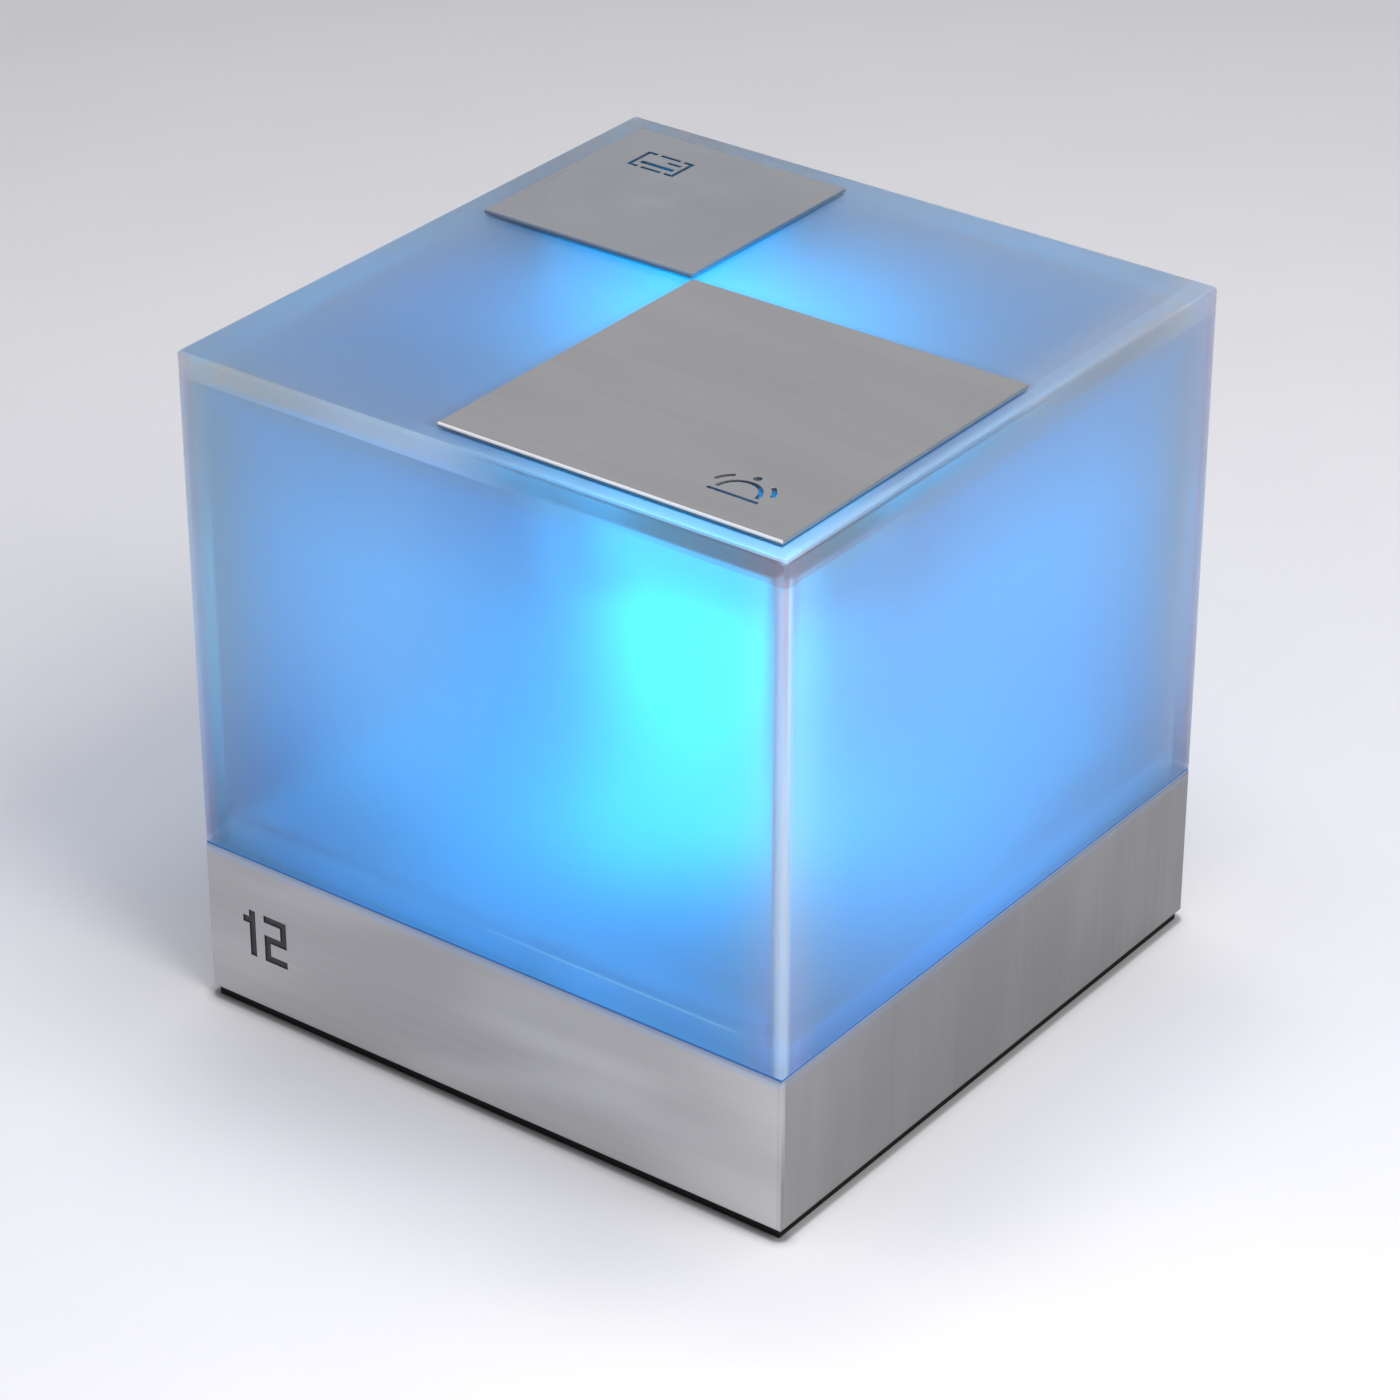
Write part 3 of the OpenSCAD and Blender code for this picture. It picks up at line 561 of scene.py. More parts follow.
def tintCover(tree, tints, at):
    # Each tint in turn lies over those before it
    soft, straight = changes(tree, tints)
    x, z, onTop, facing = at.x, at.z, at.onTop, at.facing
    tint = blendColours(tree, soft(z, "lowRise"), tints["low"], tints["outer"])
    along = either(tree, onTop, at.nearer, at.side)
    border = greater(tree, soft(along, "borderReach"), soft(z, "borderUnderPane"))
    ontoTop = remap(tree, along, *tints["borderReach"], *tints["borderOnTop"])
    border = product(tree, border, either(tree, onTop, 1, ontoTop))
    border = product(tree, border, straight(z, "borderRise"))
    cool = product(tree, onTop, soft(x, "coolReach"), either(tree, border, 1, tints["coolAtBorder"]))
    slab = product(tree, above(tree, at.nearer, coverLook["outerSide"]), soft(facing, "slabReach"),
                   below(tree, z, coverLook["paneTop"]))
    low, high = coverLook["milledEdge"]
    # painted shade on the pane's milled edge near the front corner
    cornerShade = product(tree, soft(facing, "cornerShadeReach"), above(tree, z, low), below(tree, z, high))
    # painted shadow behind the large plate and painted shade under the plates' edges
    screened = product(tree, behindPlate(tree, x, at.y, serviceBox), onTop, tints["screenShare"])
    slab = product(tree, slab, tints["slabShare"])
    shade = product(tree, at.shaded, tints["shadeShare"])
    shares = dict(border=border, cool=cool, slab=slab, cornerShade=cornerShade, shade=shade, screened=screened)
    for name, share in shares.items():
        tint = blendColours(tree, share, tint, tints[name])
    return blendColours(tree, at.blasted, tint, tints["inner"])


def lightSides(tree, glow, at):
    # A wide patch of light on each side
    soft, straight = changes(tree, glow)
    x, y, z, onFront, onRight = at.x, at.y, at.z, at.onFront, at.onRight
    lifted = difference(tree, z, glow["patchHeight"])
    lifted = product(tree, lifted, either(tree, above(tree, z, glow["patchHeight"]), *glow["patchStretch"]))
    off = vectors(tree, "LENGTH", add(tree, "CombineXYZ", at.sideways, lifted, 0.0).outputs[0])
    light = smooth(tree, off, *glow["sideReach"], glow["side"], 0)
    fadeFrom = either(tree, at.seen, *glow["fadeFrom"])
    fadeTo = either(tree, at.seen, *glow["fadeTo"])
    light = product(tree, light, remap(tree, z, fadeFrom, fadeTo, *glow["fadeLevels"]))
    # the lamps shine past the large plate's switch on to the corner under it
    cornerFront = product(tree, onFront, soft(x, "cornerFront"))
    cornerRight = product(tree, onRight, soft(y, "cornerRight"))
    corner = greater(tree, cornerFront, cornerRight)
    corner = product(tree, corner, straight(at.nearer, "cornerEdge"))
    corner = product(tree, corner, straight(z, "cornerRise"))
    light = total(tree, light, corner)
    dullFront = product(tree, onFront, soft(x, "dullFront"), soft(x, "dullFrontEnd"),
                        soft(z, "dullFrontFall"))
    dullRight = product(tree, onRight, soft(y, "dullRight"), soft(z, "dullRightFall"))
    dull = product(tree, greater(tree, dullFront, dullRight), above(tree, z, coverLook["collarTop"]))
    light = product(tree, light, either(tree, dull, 1, glow["dullness"]))
    # the strip where the deck's collar is glued in
    under = product(tree, below(tree, z, coverLook["collarTop"]), at.seen)
    light = product(tree, light, either(tree, under, 1, glow["collarGain"]))
    light = total(tree, light, product(tree, under, soft(at.nearer, "collarEnds")))
    lowest = either(tree, onFront, glow["lowOnFront"], 1.0)
    return product(tree, light, remap(tree, z, *glow["lowRise"], lowest, 1))


def lightPane(tree, glow, at):
    # A tight patch on the pane, in a faint wide one
    soft, straight = changes(tree, glow)
    away = vectors(tree, "DISTANCE", at.flat, glow["paneHeart"])
    light = product(tree, maths(tree, "POWER", straight(away, "paneReach"), 2.0), glow["pane"])
    return total(tree, light, soft(away, "paneVeil"))


def lightStrip(tree, glow, at):
    # The strip of pane beside the large plate, where the light comes up at a slant
    front = product(tree, at.onFront, smooth(tree, at.x, *glow["stripFront"]))
    right = product(tree, at.onRight, smooth(tree, at.y, *glow["stripRight"]))
    strip = product(tree, at.onTop, above(tree, at.side, glow["besidePlate"]), greater(tree, front, right))
    return product(tree, strip, flip(tree, at.shaded))


def paintScatter(tree, paintedScatter, at):
    # How much of each colour of painted scattered light a point shows
    soft, straight = changes(tree, paintedScatter)
    x, y, z, nearer, facing = at.x, at.y, at.z, at.nearer, at.facing
    sideFront = product(tree, at.onSides, at.onFront)
    edge = product(tree, soft(nearer, "edgeNear"), straight(z, "edgeRise"), straight(facing, "edgeFacing"))
    halo = product(tree, at.onSides, soft(nearer, "haloNear"), straight(facing, "haloFacing"),
                   flip(tree, edge))
    warmth = product(tree, edge, straight(facing, "warmFacing"), soft(z, "warmRise"))
    fade = smooth(tree, z, *paintedScatter["warmRise"], 1, paintedScatter["edgeFade"])
    edge = product(tree, edge, remap(tree, facing, *paintedScatter["warmFacing"], 1, fade))
    haze = product(tree, sideFront, soft(x, "hazeReach"), soft(z, "hazeRise"))
    slabFront = product(tree, at.onFront, soft(x, "slabFront"))
    slabRight = product(tree, at.onRight, soft(y, "slabRight"))
    slab = product(tree, at.onSides, greater(tree, slabFront, slabRight))
    strip = product(tree, sideFront, soft(x, "stripReach"), soft(z, "stripTop"), straight(x, "stripEnd"))
    aside = product(tree, at.onSides, at.onRight, soft(y, "asideReach"),
                    soft(nearer, "cornerEnd"), soft(z, "stripTop"))
    low = product(tree, sideFront, soft(x, "lowReach"), soft(x, "cornerEnd"), soft(z, "lowFall"),
                  above(tree, z, coverLook["collarLine"]))
    fromCollar = absolute(tree, difference(tree, z, coverLook["collarLine"]))
    collar = product(tree, soft(fromCollar, "collarWidth"), at.onSides, at.onFront, soft(x, "collarReach"),
                     soft(x, "collarEnd"))
    topRight = product(tree, at.onTop, soft(x, "topRightReach"), flip(tree, at.shaded))
    fromMiddle = vectors(tree, "DISTANCE", at.flat, paintedScatter["topLeftMiddle"])
    topLeft = product(tree, at.onTop, soft(fromMiddle, "topLeftReach"))
    ends = product(tree, at.onRim, soft(nearer, "endsNear"), straight(facing, "endsFacing"))
    sheen = product(tree, at.onRim, at.onFront, soft(x, "sheenReach"), soft(x, "sheenEnd"))
    foot = product(tree, at.onSides, at.seen, soft(z, "footFall"), soft(at.sideways, "footReach"))
    return dict(edge=edge, warmth=warmth, halo=halo, haze=haze, slab=slab, strip=strip, low=low,
                collar=collar, aside=aside, topRight=topRight, topLeft=topLeft, ends=ends, sheen=sheen,
                foot=foot)


def makeFrostedCover(style):
    look, tree, sockets = startLook("frostedCover", Transmission_Weight=style["clarity"], IOR=style["index"],
                                    Emission_Strength=1.0)
    at = coverPlaces(tree, style)
    grain = put(tree, fineGrain, Size=0.6, Patch=14.0, Contrast=0.5)
    spread = style["innerRoughness"] - style["outerRoughness"]
    rough = maths(tree, "MULTIPLY_ADD", at.blasted, spread, style["outerRoughness"])
    drift = remap(tree, grain["Patches"], 0, 1, *style["roughnessDrift"])
    feed(tree, sockets["Roughness"], product(tree, rough, drift))
    tints, glow, paintedScatter = style["tints"], style["glow"], style["paintedScatter"]
    clouds = remap(tree, grain["Patches"], 0, 1, 0, tints["cloudShare"])
    tint = tintCover(tree, tints, at)
    feed(tree, sockets["Base Color"], blendColours(tree, clouds, tint, tints["cloud"]))

    # light on the inside faces shows from outside only, and what the slab scatters stays outside
    caught = either(tree, at.onPane, lightSides(tree, glow, at), lightPane(tree, glow, at))
    caught = product(tree, caught, at.blasted, at.inward)
    lit = blendColours(tree, caught, black, blueLight["scattered"])
    strip = blendColours(tree, lightStrip(tree, glow, at), black, blueLight["surface"])
    lit = vectors(tree, "ADD", lit, strip)
    # painted scattered light on the outside faces
    for name, share in paintScatter(tree, paintedScatter, at).items():
        lit = vectors(tree, "ADD", lit, scaleColour(tree, paintedScatter[name], product(tree, share, at.outward)))
    feed(tree, sockets["Emission Color"], lit)
    return look


# Light column: milky, brightest at its top, with the rows of lamps faintly seen
columnLook = {
    "colour": rgb(0.85, 0.93, 1.0),
    "strength": 3.0,
    "low": 20.3, "high": 56.0,  # mm, from the deck to the cap
    "riseLevels": (0.5, 1.3),   # of the light there
    "lampPitch": 8.0,
    "rowLevels": (0.92, 1.0),
    "cloudLevels": (0.95, 1.05),
}


def makeMilkyTube(style):
    look, tree, sockets = startLook("milkyTube", Roughness=0.45, Emission_Strength=style["strength"])
    height = put(tree, partPlace)["Z"]
    grain = put(tree, fineGrain, Size=0.5, Patch=9.0, Contrast=0.4)
    rows = maths(tree, "SINE", product(tree, height, 2 * math.pi / style["lampPitch"]))
    level = product(tree, remap(tree, rows, -1, 1, *style["rowLevels"]),
                    remap(tree, height, style["low"], style["high"], *style["riseLevels"]),
                    remap(tree, grain["Patches"], 0, 1, *style["cloudLevels"]))
    feed(tree, sockets["Base Color"], style["colour"])
    feed(tree, sockets["Emission Color"], blendColours(tree, level, black, blueLight["colour"]))
    addBump(tree, sockets, grain["Height"], 0.1, 0.02)
    return look


# Plain mouldings: colour, roughness, grain size, bump, and how much column light they catch
mouldings = {
    "white_plastic": dict(name="whiteMoulding", colour=rgb(0.78, 0.8, 0.82), rough=0.45, size=0.18,
                          wash=0.9),
    "black_plastic": dict(name="blackMoulding", colour=rgb(0.006, 0.006, 0.007), rough=0.6, size=0.25,
                          wash=0, shine=0.25),
    "seal_rubber": dict(name="sealRubber", colour=rgb(0.045, 0.17, 0.5), rough=0.6, size=0.2, wash=2.2,
                        litAbove=20.45),
    "foot_rubber": dict(name="footRubber", colour=rgb(0.006, 0.006, 0.006), rough=0.8, size=0.4, wash=0,
                        bump=0.5, shine=0.2),
    "lamp_body": dict(name="lampLens", colour=rgb(0.9, 0.85, 0.6), rough=0.3, size=0.3, wash=2.0),
    "black_part": dict(name="chipResin", colour=rgb(0.02, 0.02, 0.022), rough=0.4, size=0.12, wash=0.1),
    "connector": dict(name="connectorNylon", colour=rgb(0.72, 0.68, 0.55), rough=0.5, size=0.2, wash=0.8),
    "ribbon_film": dict(name="ribbonFilm", colour=rgb(0.6, 0.64, 0.72), rough=0.35, size=0.6, wash=0.8),
    "key_plastic": dict(name="keyCap", colour=rgb(0.7, 0.66, 0.55), rough=0.4, size=0.15, wash=0.2),
    "foam": dict(name="padFoam", colour=rgb(0.03, 0.03, 0.033), rough=0.9, size=0.5, wash=0, bump=1.0),
    "lead_red": dict(name="leadJacket", colour=rgb(0.5, 0.012, 0.01), rough=0.35, size=0.3, wash=0),
}

# Every moulding's grain: how much darker and how uneven it gets
mouldingWear = {"dark": 0.82, "uneven": 0.06, "patch": 7.0, "contrast": 0.8}


def addWash(tree, sockets, share, litAbove=None):
    # light from the column on what stands around it
    level = product(tree, put(tree, columnWash)["Wash"], share)
    if litAbove:
        level = product(tree, level, above(tree, put(tree, partPlace)["Z"], litAbove))
    feed(tree, sockets["Emission Color"], scaleColour(tree, blueLight["colour"], level))
    sockets["Emission Strength"].default_value = 1


def makeMoulding(style):
    look, tree, sockets = startLook(style["name"], Specular_IOR_Level=style.get("shine", 0.45))
    wear = mouldingWear
    grain = put(tree, fineGrain, Size=style["size"], Patch=wear["patch"], Contrast=wear["contrast"])
    dark = darker(style["colour"], wear["dark"])
    feed(tree, sockets["Base Color"], blendColours(tree, grain["Patches"], dark, style["colour"]))
    low, high = style["rough"] - wear["uneven"], style["rough"] + wear["uneven"]
    feed(tree, sockets["Roughness"], remap(tree, grain["Shade"], 0, 1, low, high))
    if style["wash"]:
        addWash(tree, sockets, style["wash"], style.get("litAbove"))
    addBump(tree, sockets, grain["Height"], style.get("bump", 0.25), 0.03)
    return look


# Circuit boards
boards = {
    "circuit_board": dict(name="greenBoard", mask=rgb(0.01, 0.09, 0.04), track=rgb(0.02, 0.17, 0.07),
                          pad=rgb(0.75, 0.6, 0.32), pitch=2.2, wash=0.3),
    "white_board": dict(name="whiteBoard", mask=rgb(0.72, 0.74, 0.72), track=rgb(0.8, 0.82, 0.8),
                        pad=rgb(0.75, 0.7, 0.6), pitch=2.0, wash=0.9),
}
boardRoughness = (0.28, 0.42)


def makeBoard(style):
    look, tree, sockets = startLook(style["name"])
    copper = put(tree, boardPrint, Pitch=style["pitch"])
    grain = put(tree, fineGrain, Size=0.15, Patch=12.0, Contrast=0.6)
    ground = blendColours(tree, copper["Tracks"], style["mask"], style["track"])
    feed(tree, sockets["Base Color"], blendColours(tree, copper["Pads"], ground, style["pad"]))
    feed(tree, sockets["Roughness"], remap(tree, grain["Shade"], 0, 1, *boardRoughness))
    addWash(tree, sockets, style["wash"])
    addBump(tree, sockets, copper["Height"], 0.3, 0.035)
    return look


# Small metal parts
metals = {
    "screw_steel": dict(name="screwSteel", colour=rgb(0.5, 0.5, 0.52), rough=0.3, size=0.25),
    "spring_steel": dict(name="springSteel", colour=rgb(0.42, 0.42, 0.44), rough=0.28, size=0.3),
    "gold_contact": dict(name="goldPlating", colour=rgb(0.85, 0.6, 0.24), rough=0.22, size=0.3),
    "shield_tin": dict(name="shieldTin", colour=rgb(0.62, 0.62, 0.6), rough=0.35, size=0.4),
    "battery_foil": dict(name="batteryFoil", colour=rgb(0.55, 0.57, 0.6), rough=0.4, size=1.2),
}

# Tarnish of the small metal parts
metalWear = {"dull": 0.78, "smoother": 0.08, "rougher": 0.1}


def makeMetal(style):
    look, tree, sockets = startLook(style["name"], Metallic=1.0)
    grain = put(tree, fineGrain, Size=style["size"], Patch=5.0, Contrast=0.8)
    dull = darker(style["colour"], metalWear["dull"])
    feed(tree, sockets["Base Color"], blendColours(tree, grain["Patches"], dull, style["colour"]))
    low, high = style["rough"] - metalWear["smoother"], style["rough"] + metalWear["rougher"]
    feed(tree, sockets["Roughness"], remap(tree, grain["Shade"], 0, 1, low, high))
    addBump(tree, sockets, grain["Height"], 0.15, 0.015)
    return look


# Brushed steel of the band: lines run round it, upright on the left and right sides.
# Rows of numbers are read as for the cover.
bandLook = {
    "light": rgb(0.56, 0.555, 0.56),
    "dark": rgb(0.44, 0.435, 0.44),
    "roughness": (0.3, 0.42),
    "endFrom": 39.85,                    # mm, beyond it lie the left and right sides
    "frontFrom": 39.4,
    "toneAndSheenOnEnds": 0.45,
    "lineShare": (0.35, 0.15),           # on the front and back, and on the ends
    "endShade": rgb(0.05, 0.05, 0.05),   # painted shade: the ends are darker
    "endShadeReach": (-38, -15, 0.3, 0.42),
    "glint": rgb(0.68, 0.67, 0.67),      # towards the right end of the front
    "glintReach": (18, 46),
    "glintRise": (7, 16),
    # painted light and shade: the front is lighter low down and darker at the top
    "frontRise": (3, 19, 1.12, 0.88),
    "roundedFrom": 79.45,                # mm on X minus Y, the front corner's bend, darkened there as painted shade
    "roundedLevel": 0.85,
    "sheenLine": (-10, 34, 11.5, 14.5),  # a faint streak rises towards the glint
    "sheenWidth": (0.4, 2.2, 1, 0),
    "sheenStart": (-8, 12),
    "sheenEnd": (34, 18),
    "sheenShare": 0.3,
    "crown": rgb(0.32, 0.44, 0.66),      # its upper edge is blue from the cover's light
    "crownRise": (18.9, 20.0, 0, 0.6),
    "crownOnEnds": 0.5,
    "enamel": rgb(0.012, 0.014, 0.018),
    "engraved": (39.75, 39.9),           # mm from the axis, where the number's floor lies
    "numberMiddle": 10.7,                # mm up
    "numberHalfHeight": 3.2,
    "numberWithin": 38.0,
}


def steelOfBand(tree, style, x, y, z, lines, ends):
    soft, straight = changes(tree, style)
    # faint tilted patches of random tone that also serve as painted sheen, weaker on the ends
    toneAndSheen = product(tree, lines["ToneAndSheen"], either(tree, ends, 1, style["toneAndSheenOnEnds"]))
    steel = blendColours(tree, toneAndSheen, style["dark"], style["light"])
    clear = either(tree, ends, *style["lineShare"])
    steel = blendColours(tree, product(tree, lines["Shade"], clear), steel, style["light"])
    # painted shade on the left and right sides, lighter towards the front corner
    endShade = straight(y, "endShadeReach")
    steel = blendColours(tree, product(tree, ends, endShade), steel, style["endShade"])
    onFront = below(tree, y, -style["frontFrom"])
    bright = product(tree, soft(x, "glintReach"), straight(z, "glintRise"), onFront)
    steel = blendColours(tree, bright, steel, style["glint"])
    # painted light and shade: the front lighter low down, darker at the top
    steel = scaleColour(tree, steel, either(tree, onFront, 1, straight(z, "frontRise")))
    # painted shade on the front corner's bend, against its highlight
    rounded = above(tree, difference(tree, x, y), style["roundedFrom"])
    steel = scaleColour(tree, steel, either(tree, rounded, 1, style["roundedLevel"]))
    rise = difference(tree, z, straight(x, "sheenLine"))
    sheen = product(tree, smooth(tree, absolute(tree, rise), *style["sheenWidth"]),
                    soft(x, "sheenStart"), soft(x, "sheenEnd"), onFront)
    steel = blendColours(tree, product(tree, sheen, style["sheenShare"]), steel, style["glint"])
    crown = product(tree, soft(z, "crownRise"), either(tree, ends, 1, style["crownOnEnds"]))
    return blendColours(tree, crown, steel, style["crown"])


def makeBrushedBand(style):
    look, tree, sockets = startLook("brushedBand")
    spot = put(tree, partPlace)
    x, y, z = spot["X"], spot["Y"], spot["Z"]
    ends = above(tree, absolute(tree, x), style["endFrom"])
    lines = put(tree, brushLines, Along=either(tree, ends, x, z), Across=either(tree, ends, y, x),
                Up=either(tree, ends, z, y), Fine=7.0, Streak=0.9)
    steel = steelOfBand(tree, style, x, y, z, lines, ends)
    deep = absolute(tree, y)
    low, high = style["engraved"]
    lifted = absolute(tree, difference(tree, z, style["numberMiddle"]))
    engraved = product(tree, above(tree, deep, low), below(tree, deep, high), below(tree, y, 0.0),
                       below(tree, absolute(tree, x), style["numberWithin"]),
                       below(tree, lifted, style["numberHalfHeight"]))
    feed(tree, sockets["Base Color"], blendColours(tree, engraved, steel, style["enamel"]))
    feed(tree, sockets["Metallic"], flip(tree, engraved))
    polished, ground = style["roughness"]
    feed(tree, sockets["Roughness"], remap(tree, lines["Shade"], 0, 1, ground, polished))
    addBump(tree, sockets, lines["Height"], 0.12, 0.012)
    return look


# Brushed steel of the two plates: straight lines on the large one, rings on the small one
plateLook = {
    "service": dict(light=rgb(0.49, 0.48, 0.475), dark=rgb(0.435, 0.425, 0.42), roughness=(0.3, 0.4),
                    cut=rgb(0.97, 0.96, 0.95)),           # its front edge catches the light
    "pay": dict(light=rgb(0.46, 0.465, 0.475), dark=rgb(0.4, 0.405, 0.42), roughness=(0.27, 0.36),
                # its front edge painted dark, as painted shade
                cut=rgb(0.24, 0.27, 0.33)),
    "cutDepth": 0.12,               # mm, how far in from the front the cut edge reaches
    "edgeUnderShade": rgb(0.12, 0.13, 0.15),  # painted shade under the cut edge
    "edgeUnderShadeRise": (81.62, 81.78),
    "shares": (0.4, 0.3, 0.3),      # of painted-sheen patches of random tone, lines and fan in the steel's shade
    "ringStretch": 6.0,             # mm of line for each radian
    "fanTurn": (2.0, -0.4),         # two bright beams, and how far they are turned
    "fanReach": (0, 14, 1, 0.35),
    "evenFan": 0.5,                 # on the large plate
}


def addRings(tree, spot, box, style):
    # around the plate's middle: the way along a ring, its radius, and a fan of light over the rings
    middle = [(box[0][i] + box[1][i]) / 2 / mm for i in (0, 1)]
    offX, offY = difference(tree, spot["X"], middle[0]), difference(tree, spot["Y"], middle[1])
    radius = vectors(tree, "LENGTH", add(tree, "CombineXYZ", offX, offY, 0.0).outputs[0])
    turn = maths(tree, "ARCTAN2", offY, offX)
    wave = maths(tree, "SINE", maths(tree, "MULTIPLY_ADD", turn, *style["fanTurn"]))
    fan = product(tree, remap(tree, wave, -1, 1), smooth(tree, radius, *style["fanReach"]))
    return product(tree, turn, style["ringStretch"]), radius, fan


def makeBrushedPlate(name, style, box, spun=False):
    look, tree, sockets = startLook(name, Anisotropic=0.55)
    spot = put(tree, partPlace)
    along, across, fan = spot["X"], spot["Y"], plateLook["evenFan"]
    if spun:
        along, across, fan = addRings(tree, spot, box, plateLook)
    lines = put(tree, brushLines, Along=along, Across=across, Up=spot["Z"], Fine=8.0, Streak=1.1)
    parts = zip((lines["ToneAndSheen"], lines["Shade"], fan), plateLook["shares"])
    shade = total(tree, *[product(tree, part, share) for part, share in parts])
    steel = blendColours(tree, shade, style["dark"], style["light"])
    # the front edge is painted: a highlight on the large plate, shade on the small one, and painted shade
    # below both
    cut = below(tree, spot["Y"], box[0][1] / mm + plateLook["cutDepth"])
    cutShade = smooth(tree, spot["Z"], *plateLook["edgeUnderShadeRise"])
    cutSteel = blendColours(tree, cutShade, plateLook["edgeUnderShade"], style["cut"])
    feed(tree, sockets["Base Color"], blendColours(tree, cut, steel, cutSteel))
    feed(tree, sockets["Metallic"], flip(tree, cut))
    polished, ground = style["roughness"]
    feed(tree, sockets["Roughness"], remap(tree, lines["Shade"], 0, 1, ground, polished))
    tangent = add(tree, "Tangent", direction_type="RADIAL", axis="Z" if spun else "Y")
    feed(tree, sockets["Tangent"], tangent.outputs[0])
    addBump(tree, sockets, lines["Height"], 0.1, 0.01)
    return look


# Which finish each of the part's material slots gets
finishes = {slot: makeMoulding(style) for slot, style in mouldings.items()}
finishes.update({slot: makeBoard(style) for slot, style in boards.items()})
finishes.update({slot: makeMetal(style) for slot, style in metals.items()})
finishes["frosted_cover"] = makeFrostedCover(coverLook)
finishes["milky_tube"] = makeMilkyTube(columnLook)
finishes["brushed_band"] = makeBrushedBand(bandLook)
serviceSteel = makeBrushedPlate("servicePlateSteel", plateLook["service"], serviceBox)
paySteel = makeBrushedPlate("payPlateSteel", plateLook["pay"], payBox, spun=True)
finishes["brushed_plate"] = serviceSteel
for node in nodes.values():
    for slot in node.material_slots:
        slot.material = finishes[slot.material.name]
print("finishes:", len(finishes))

# Touch plates: sheet with a softened upper rim and its sign cut through
plates = {
    "service_plate": dict(piece="servicePlateSheet", body="service_button", steel=serviceSteel),
    "pay_plate": dict(piece="payPlateSheet", body="pay_button", steel=paySteel),
}
plateRim = {
    "round": 0.09,         # mm
    "steps": 2,
    "profile": 0.6,
    "flatAngle": 0.01,     # radians between two faces that are one
    "sharpAngle": 1.0,     # and more than this at an edge
    "nearTop": 0.01,       # mm
}


def foldsOf(work):
    return [(edge, edge.calc_face_angle(0)) for edge in work.edges if len(edge.link_faces) == 2]


def makePlate(nodeName, style):
    source = nodes[nodeName]
    piece = bpy.data.objects.new(style["piece"], source.data.copy())
    scene.collection.objects.link(piece)
    mesh = piece.data
    work = bmesh.new()
    work.from_mesh(mesh)
    bmesh.ops.remove_doubles(work, verts=work.verts, dist=0.001 * mm)
    flat = [edge for edge, angle in foldsOf(work) if angle < plateRim["flatAngle"]]
    bmesh.ops.dissolve_edges(work, edges=flat, use_verts=False)
    top = max(point.co.z for point in work.verts) - plateRim["nearTop"] * mm
    rim = [edge for edge, angle in foldsOf(work)
           if angle > plateRim["sharpAngle"] and all(point.co.z > top for point in edge.verts)]
    bmesh.ops.bevel(work, geom=rim, offset=plateRim["round"] * mm, segments=plateRim["steps"],
                    profile=plateRim["profile"], affect="EDGES", clamp_overlap=True)
    work.to_mesh(mesh)
    work.free()
    mesh.materials.clear()
    mesh.materials.append(style["steel"])
    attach(piece, style["body"])
    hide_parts(nodeName)


for nodeName, style in plates.items():
    makePlate(nodeName, style)
print("plates made")

# Return springs: smooth round wire, held on the case
springWire = {"wire": 0.5, "radius": 4.3, "turns": 2.5, "steps": 40, "sides": 12, "keep": 0.92}


def makeSpring(side):
    low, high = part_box(side + "_return_spring")
    centre = Vector(((low[0] + high[0]) / 2, (low[1] + high[1]) / 2, 0))
    wire, radius = springWire["wire"] * mm, springWire["radius"] * mm
    steps, sides = springWire["steps"], springWire["sides"]
    count = int(springWire["turns"] * steps)
    rise = (high[2] - low[2] - wire) / count
    work = bmesh.new()
    rings = []
    for i in range(count + 1):
        a = 2 * math.pi * i / steps
        out = Vector((math.cos(a), math.sin(a), 0))
        hub = centre + out * radius + Vector((0, 0, low[2] + wire / 2 + rise * i))
        ring = []
        for j in range(sides):
            b = 2 * math.pi * j / sides
            around = out * math.cos(b) * wire / 2 + Vector((0, 0, math.sin(b) * wire / 2))
            ring.append(work.verts.new(hub + around))
        rings.append(ring)
    for first, second in zip(rings, rings[1:]):
        for j in range(sides):
            work.faces.new((first[j], first[(j + 1) % sides], second[(j + 1) % sides], second[j]))
    work.faces.new(reversed(rings[0]))
    work.faces.new(rings[-1])
    bmesh.ops.recalc_face_normals(work, faces=work.faces)
    mesh = bpy.data.meshes.new(side + "SpringWire")
    work.to_mesh(mesh)
    work.free()
    for face in mesh.polygons:
        face.use_smooth = len(face.vertices) == 4
    mesh.materials.append(finishes["spring_steel"])
    piece = bpy.data.objects.new(side + "SpringWire", mesh)
    scene.collection.objects.link(piece)
    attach(piece, "case")
    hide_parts(side + "_return_spring")
    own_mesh(piece)


for side in ("service", "pay"):
    makeSpring(side)
print("springs made")

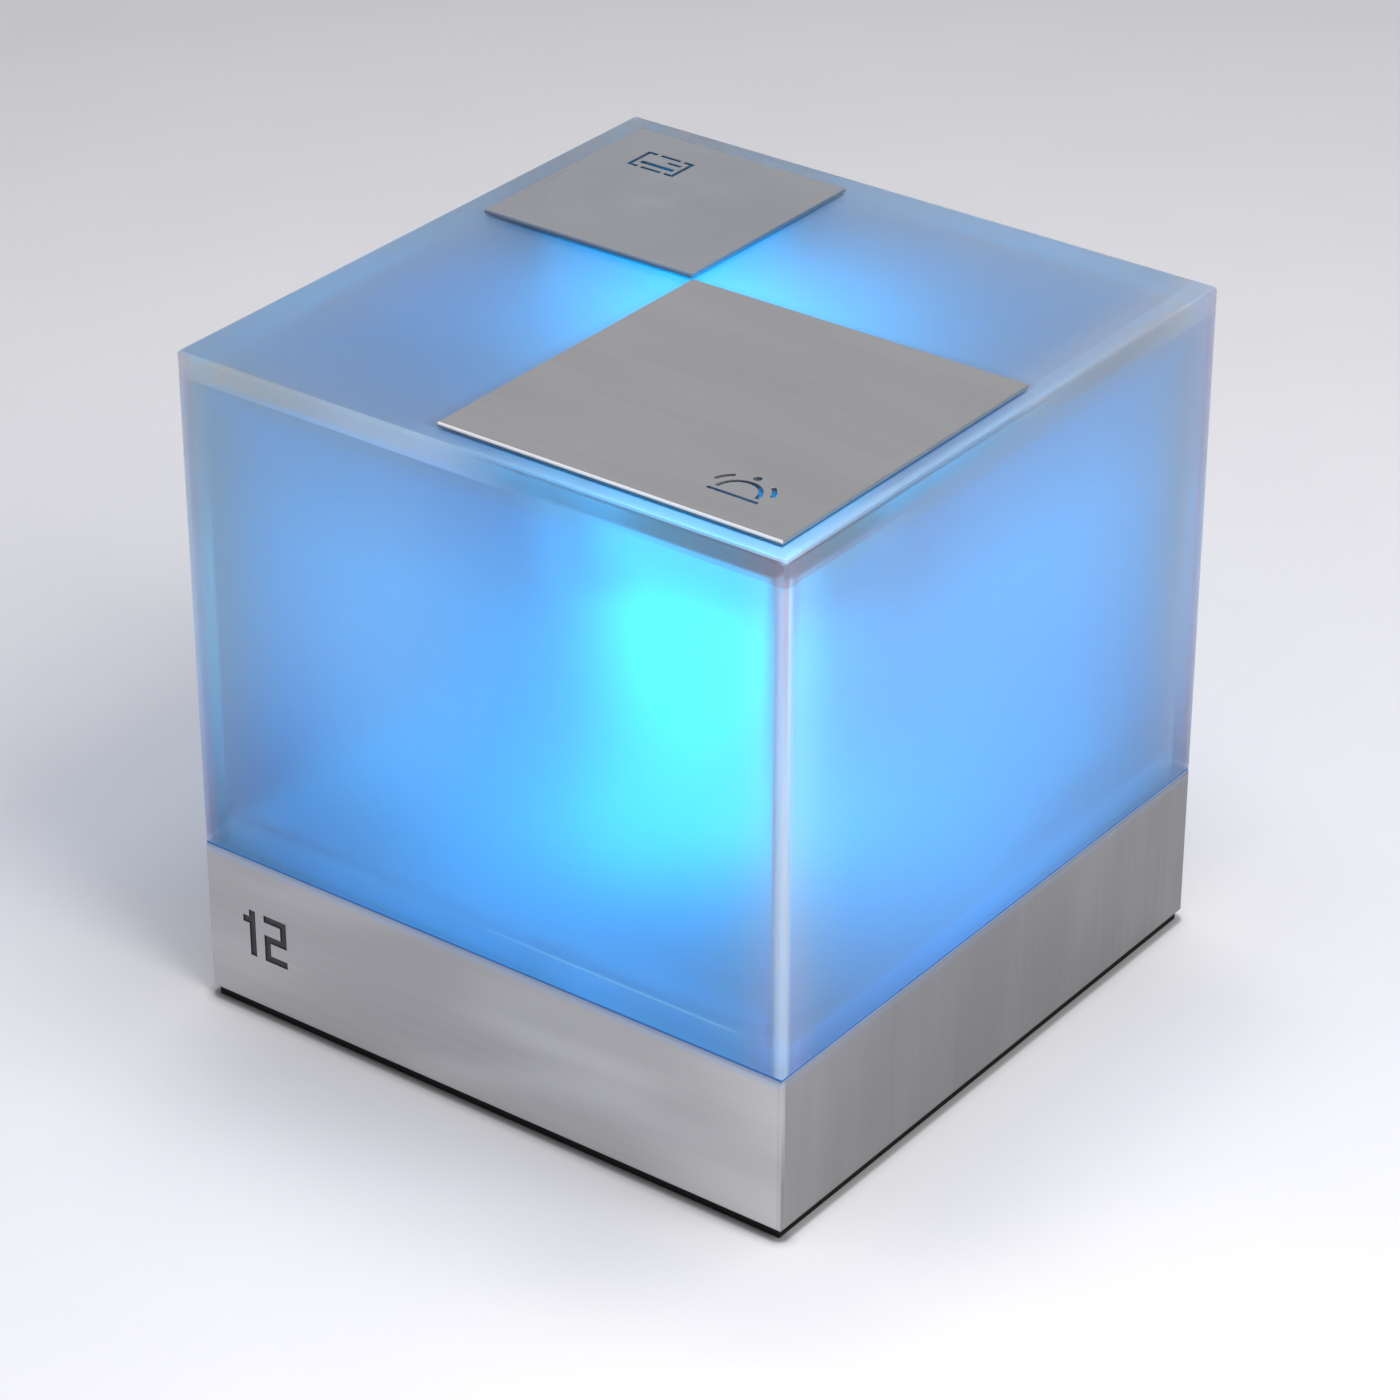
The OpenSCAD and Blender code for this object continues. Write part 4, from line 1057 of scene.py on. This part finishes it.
# Floor and light. Places and distances of the floor are in metres.
studio = {
    "floorSize": 8.0,
    "floorGloss": 0.1,
    "floorGreen": 0.985,               # a little less than red and blue
    "speckSize": 40,
    "speckLevels": (0.985, 1.0),
    "footEdge": 0.039,                 # the part's foot reaches about this far from its axis
    "footShade": rgb(0.3, 0.3, 0.3),        # painted shade on the floor around the foot
    "footShadeReach": (0.0, 0.042, 0.27, 0),
    "footShadeAtCorners": (0.022, 0.042, 1, 0.35),
    "footShadeOnRight": (0.036, 0.042, 1, 0.75),
    "contact": rgb(0.03, 0.03, 0.03),  # painted contact shadow right against the foot
    "contactReach": (0.0, 0.0028, 0.6, 0),
    "contactFront": (-0.0375, -0.0395, 0.3, 1),
    "gap": rgb(0.01, 0.01, 0.01),      # painted shadow under the band
    "gapReach": (0.001, 0.0016, 0.5, 0),
    "poolMiddle": (0.07, -0.068, 0),   # middle of the painted pool of light, where the floor is whitest, in front of the part
    "pool": rgb(0.1, 0.075, 0.02),
    "poolReach": (0.0, 0.13, 1, 0),
    "poolFromFoot": (0.008, 0.03),
    "worldColour": rgb(0.96, 0.98, 1.04),
    "worldStrength": 0.7,
    "lamps": {
        "rightSoftbox": dict(at=(0.84, -0.06, 0.95), size=0.7, power=8.5, colour=(1.0, 0.98, 0.95)),
    },
    "lampTarget": (0, 0, 0.04),
}
# Painted pool of light: floor colour against the distance from the pool's middle
floorSteps = [(0.0, 0.96), (0.06, 0.95), (0.115, 0.88), (0.18, 0.83), (0.24, 0.77), (0.3, 0.71),
              (0.35, 0.66), (0.4, 0.62), (0.8, 0.5)]


def floorGround(tree, spot, far):
    # the painted pool of light, with a faint random speckle
    ramp = add(tree, "ValToRGB", maths(tree, "DIVIDE", far, floorSteps[-1][0]))
    ramp.color_ramp.interpolation = "B_SPLINE"
    steps = ramp.color_ramp.elements
    for distance, level in floorSteps[1:-1]:
        steps.new(distance / floorSteps[-1][0])
    for step, (distance, level) in zip(steps, floorSteps):
        step.position = distance / floorSteps[-1][0]
        step.color = rgb(level, level * studio["floorGreen"], level)
    noise = add(tree, "TexNoise", spot)
    noise.inputs["Scale"].default_value = studio["speckSize"]
    speck = remap(tree, noise.outputs["Fac"], 0.3, 0.7, *studio["speckLevels"])
    return blendColours(tree, 1.0, ramp.outputs[0], speck, "MULTIPLY")


def floorLook():
    look, tree, sockets = startLook("studioFloor", Roughness=0.9, Specular_IOR_Level=studio["floorGloss"])
    soft = changes(tree, studio)[0]
    spot = add(tree, "TexCoord").outputs["Object"]
    far = vectors(tree, "DISTANCE", spot, studio["poolMiddle"])
    ground = floorGround(tree, spot, far)
    split = add(tree, "SeparateXYZ", spot).outputs
    x, y = split["X"], split["Y"]
    offX = greater(tree, difference(tree, absolute(tree, x), studio["footEdge"]), 0.0)
    offY = greater(tree, difference(tree, absolute(tree, y), studio["footEdge"]), 0.0)
    off = vectors(tree, "LENGTH", add(tree, "CombineXYZ", offX, offY, 0.0).outputs[0])
    nearer = lesser(tree, absolute(tree, x), absolute(tree, y))
    # painted shade on the floor around the foot, less at the corners and on the right
    footShaded = product(tree, remap(tree, off, *studio["footShadeReach"], "SMOOTHERSTEP"),
                    soft(nearer, "footShadeAtCorners"), soft(x, "footShadeOnRight"))
    ground = blendColours(tree, footShaded, ground, studio["footShade"])
    # painted contact shadow, strongest along the front
    touching = product(tree, soft(off, "contactReach"), soft(y, "contactFront"))
    ground = blendColours(tree, touching, ground, studio["contact"])
    # painted shadow in the gap under the band
    gap = soft(off, "gapReach")
    feed(tree, sockets["Base Color"], blendColours(tree, gap, ground, studio["gap"]))
    # the pool of light in front, for the camera and in reflections only
    path = add(tree, "LightPath").outputs
    rays = total(tree, path["Is Camera Ray"], path["Is Glossy Ray"], path["Is Transmission Ray"])
    pool = product(tree, soft(far, "poolReach"), flip(tree, footShaded), lesser(tree, rays, 1.0),
                   soft(off, "poolFromFoot"))
    feed(tree, sockets["Emission Color"], scaleColour(tree, studio["pool"], pool))
    sockets["Emission Strength"].default_value = 1
    return look


def makeFloor():
    half = studio["floorSize"] / 2
    mesh = bpy.data.meshes.new("studioFloor")
    corners = [(-half, -half, 0), (half, -half, 0), (half, half, 0), (-half, half, 0)]
    mesh.from_pydata(corners, [], [(0, 1, 2, 3)])
    mesh.materials.append(floorLook())
    floor = bpy.data.objects.new("studioFloor", mesh)
    scene.collection.objects.link(floor)


def lightStudio():
    world = bpy.data.worlds.new("studioAir")
    scene.world = world
    world.use_nodes = True
    sky = world.node_tree.nodes["Background"].inputs
    sky["Color"].default_value = studio["worldColour"]
    sky["Strength"].default_value = studio["worldStrength"]
    for name, style in studio["lamps"].items():
        data = bpy.data.lights.new(name, "AREA")
        data.size, data.energy, data.color = style["size"], style["power"], style["colour"]
        lamp = bpy.data.objects.new(name, data)
        scene.collection.objects.link(lamp)
        lamp.location = style["at"]
        aim = Vector(studio["lampTarget"]) - lamp.location
        lamp.rotation_euler = aim.to_track_quat("-Z", "Y").to_euler()


makeFloor()
lightStudio()
print("studio lit")
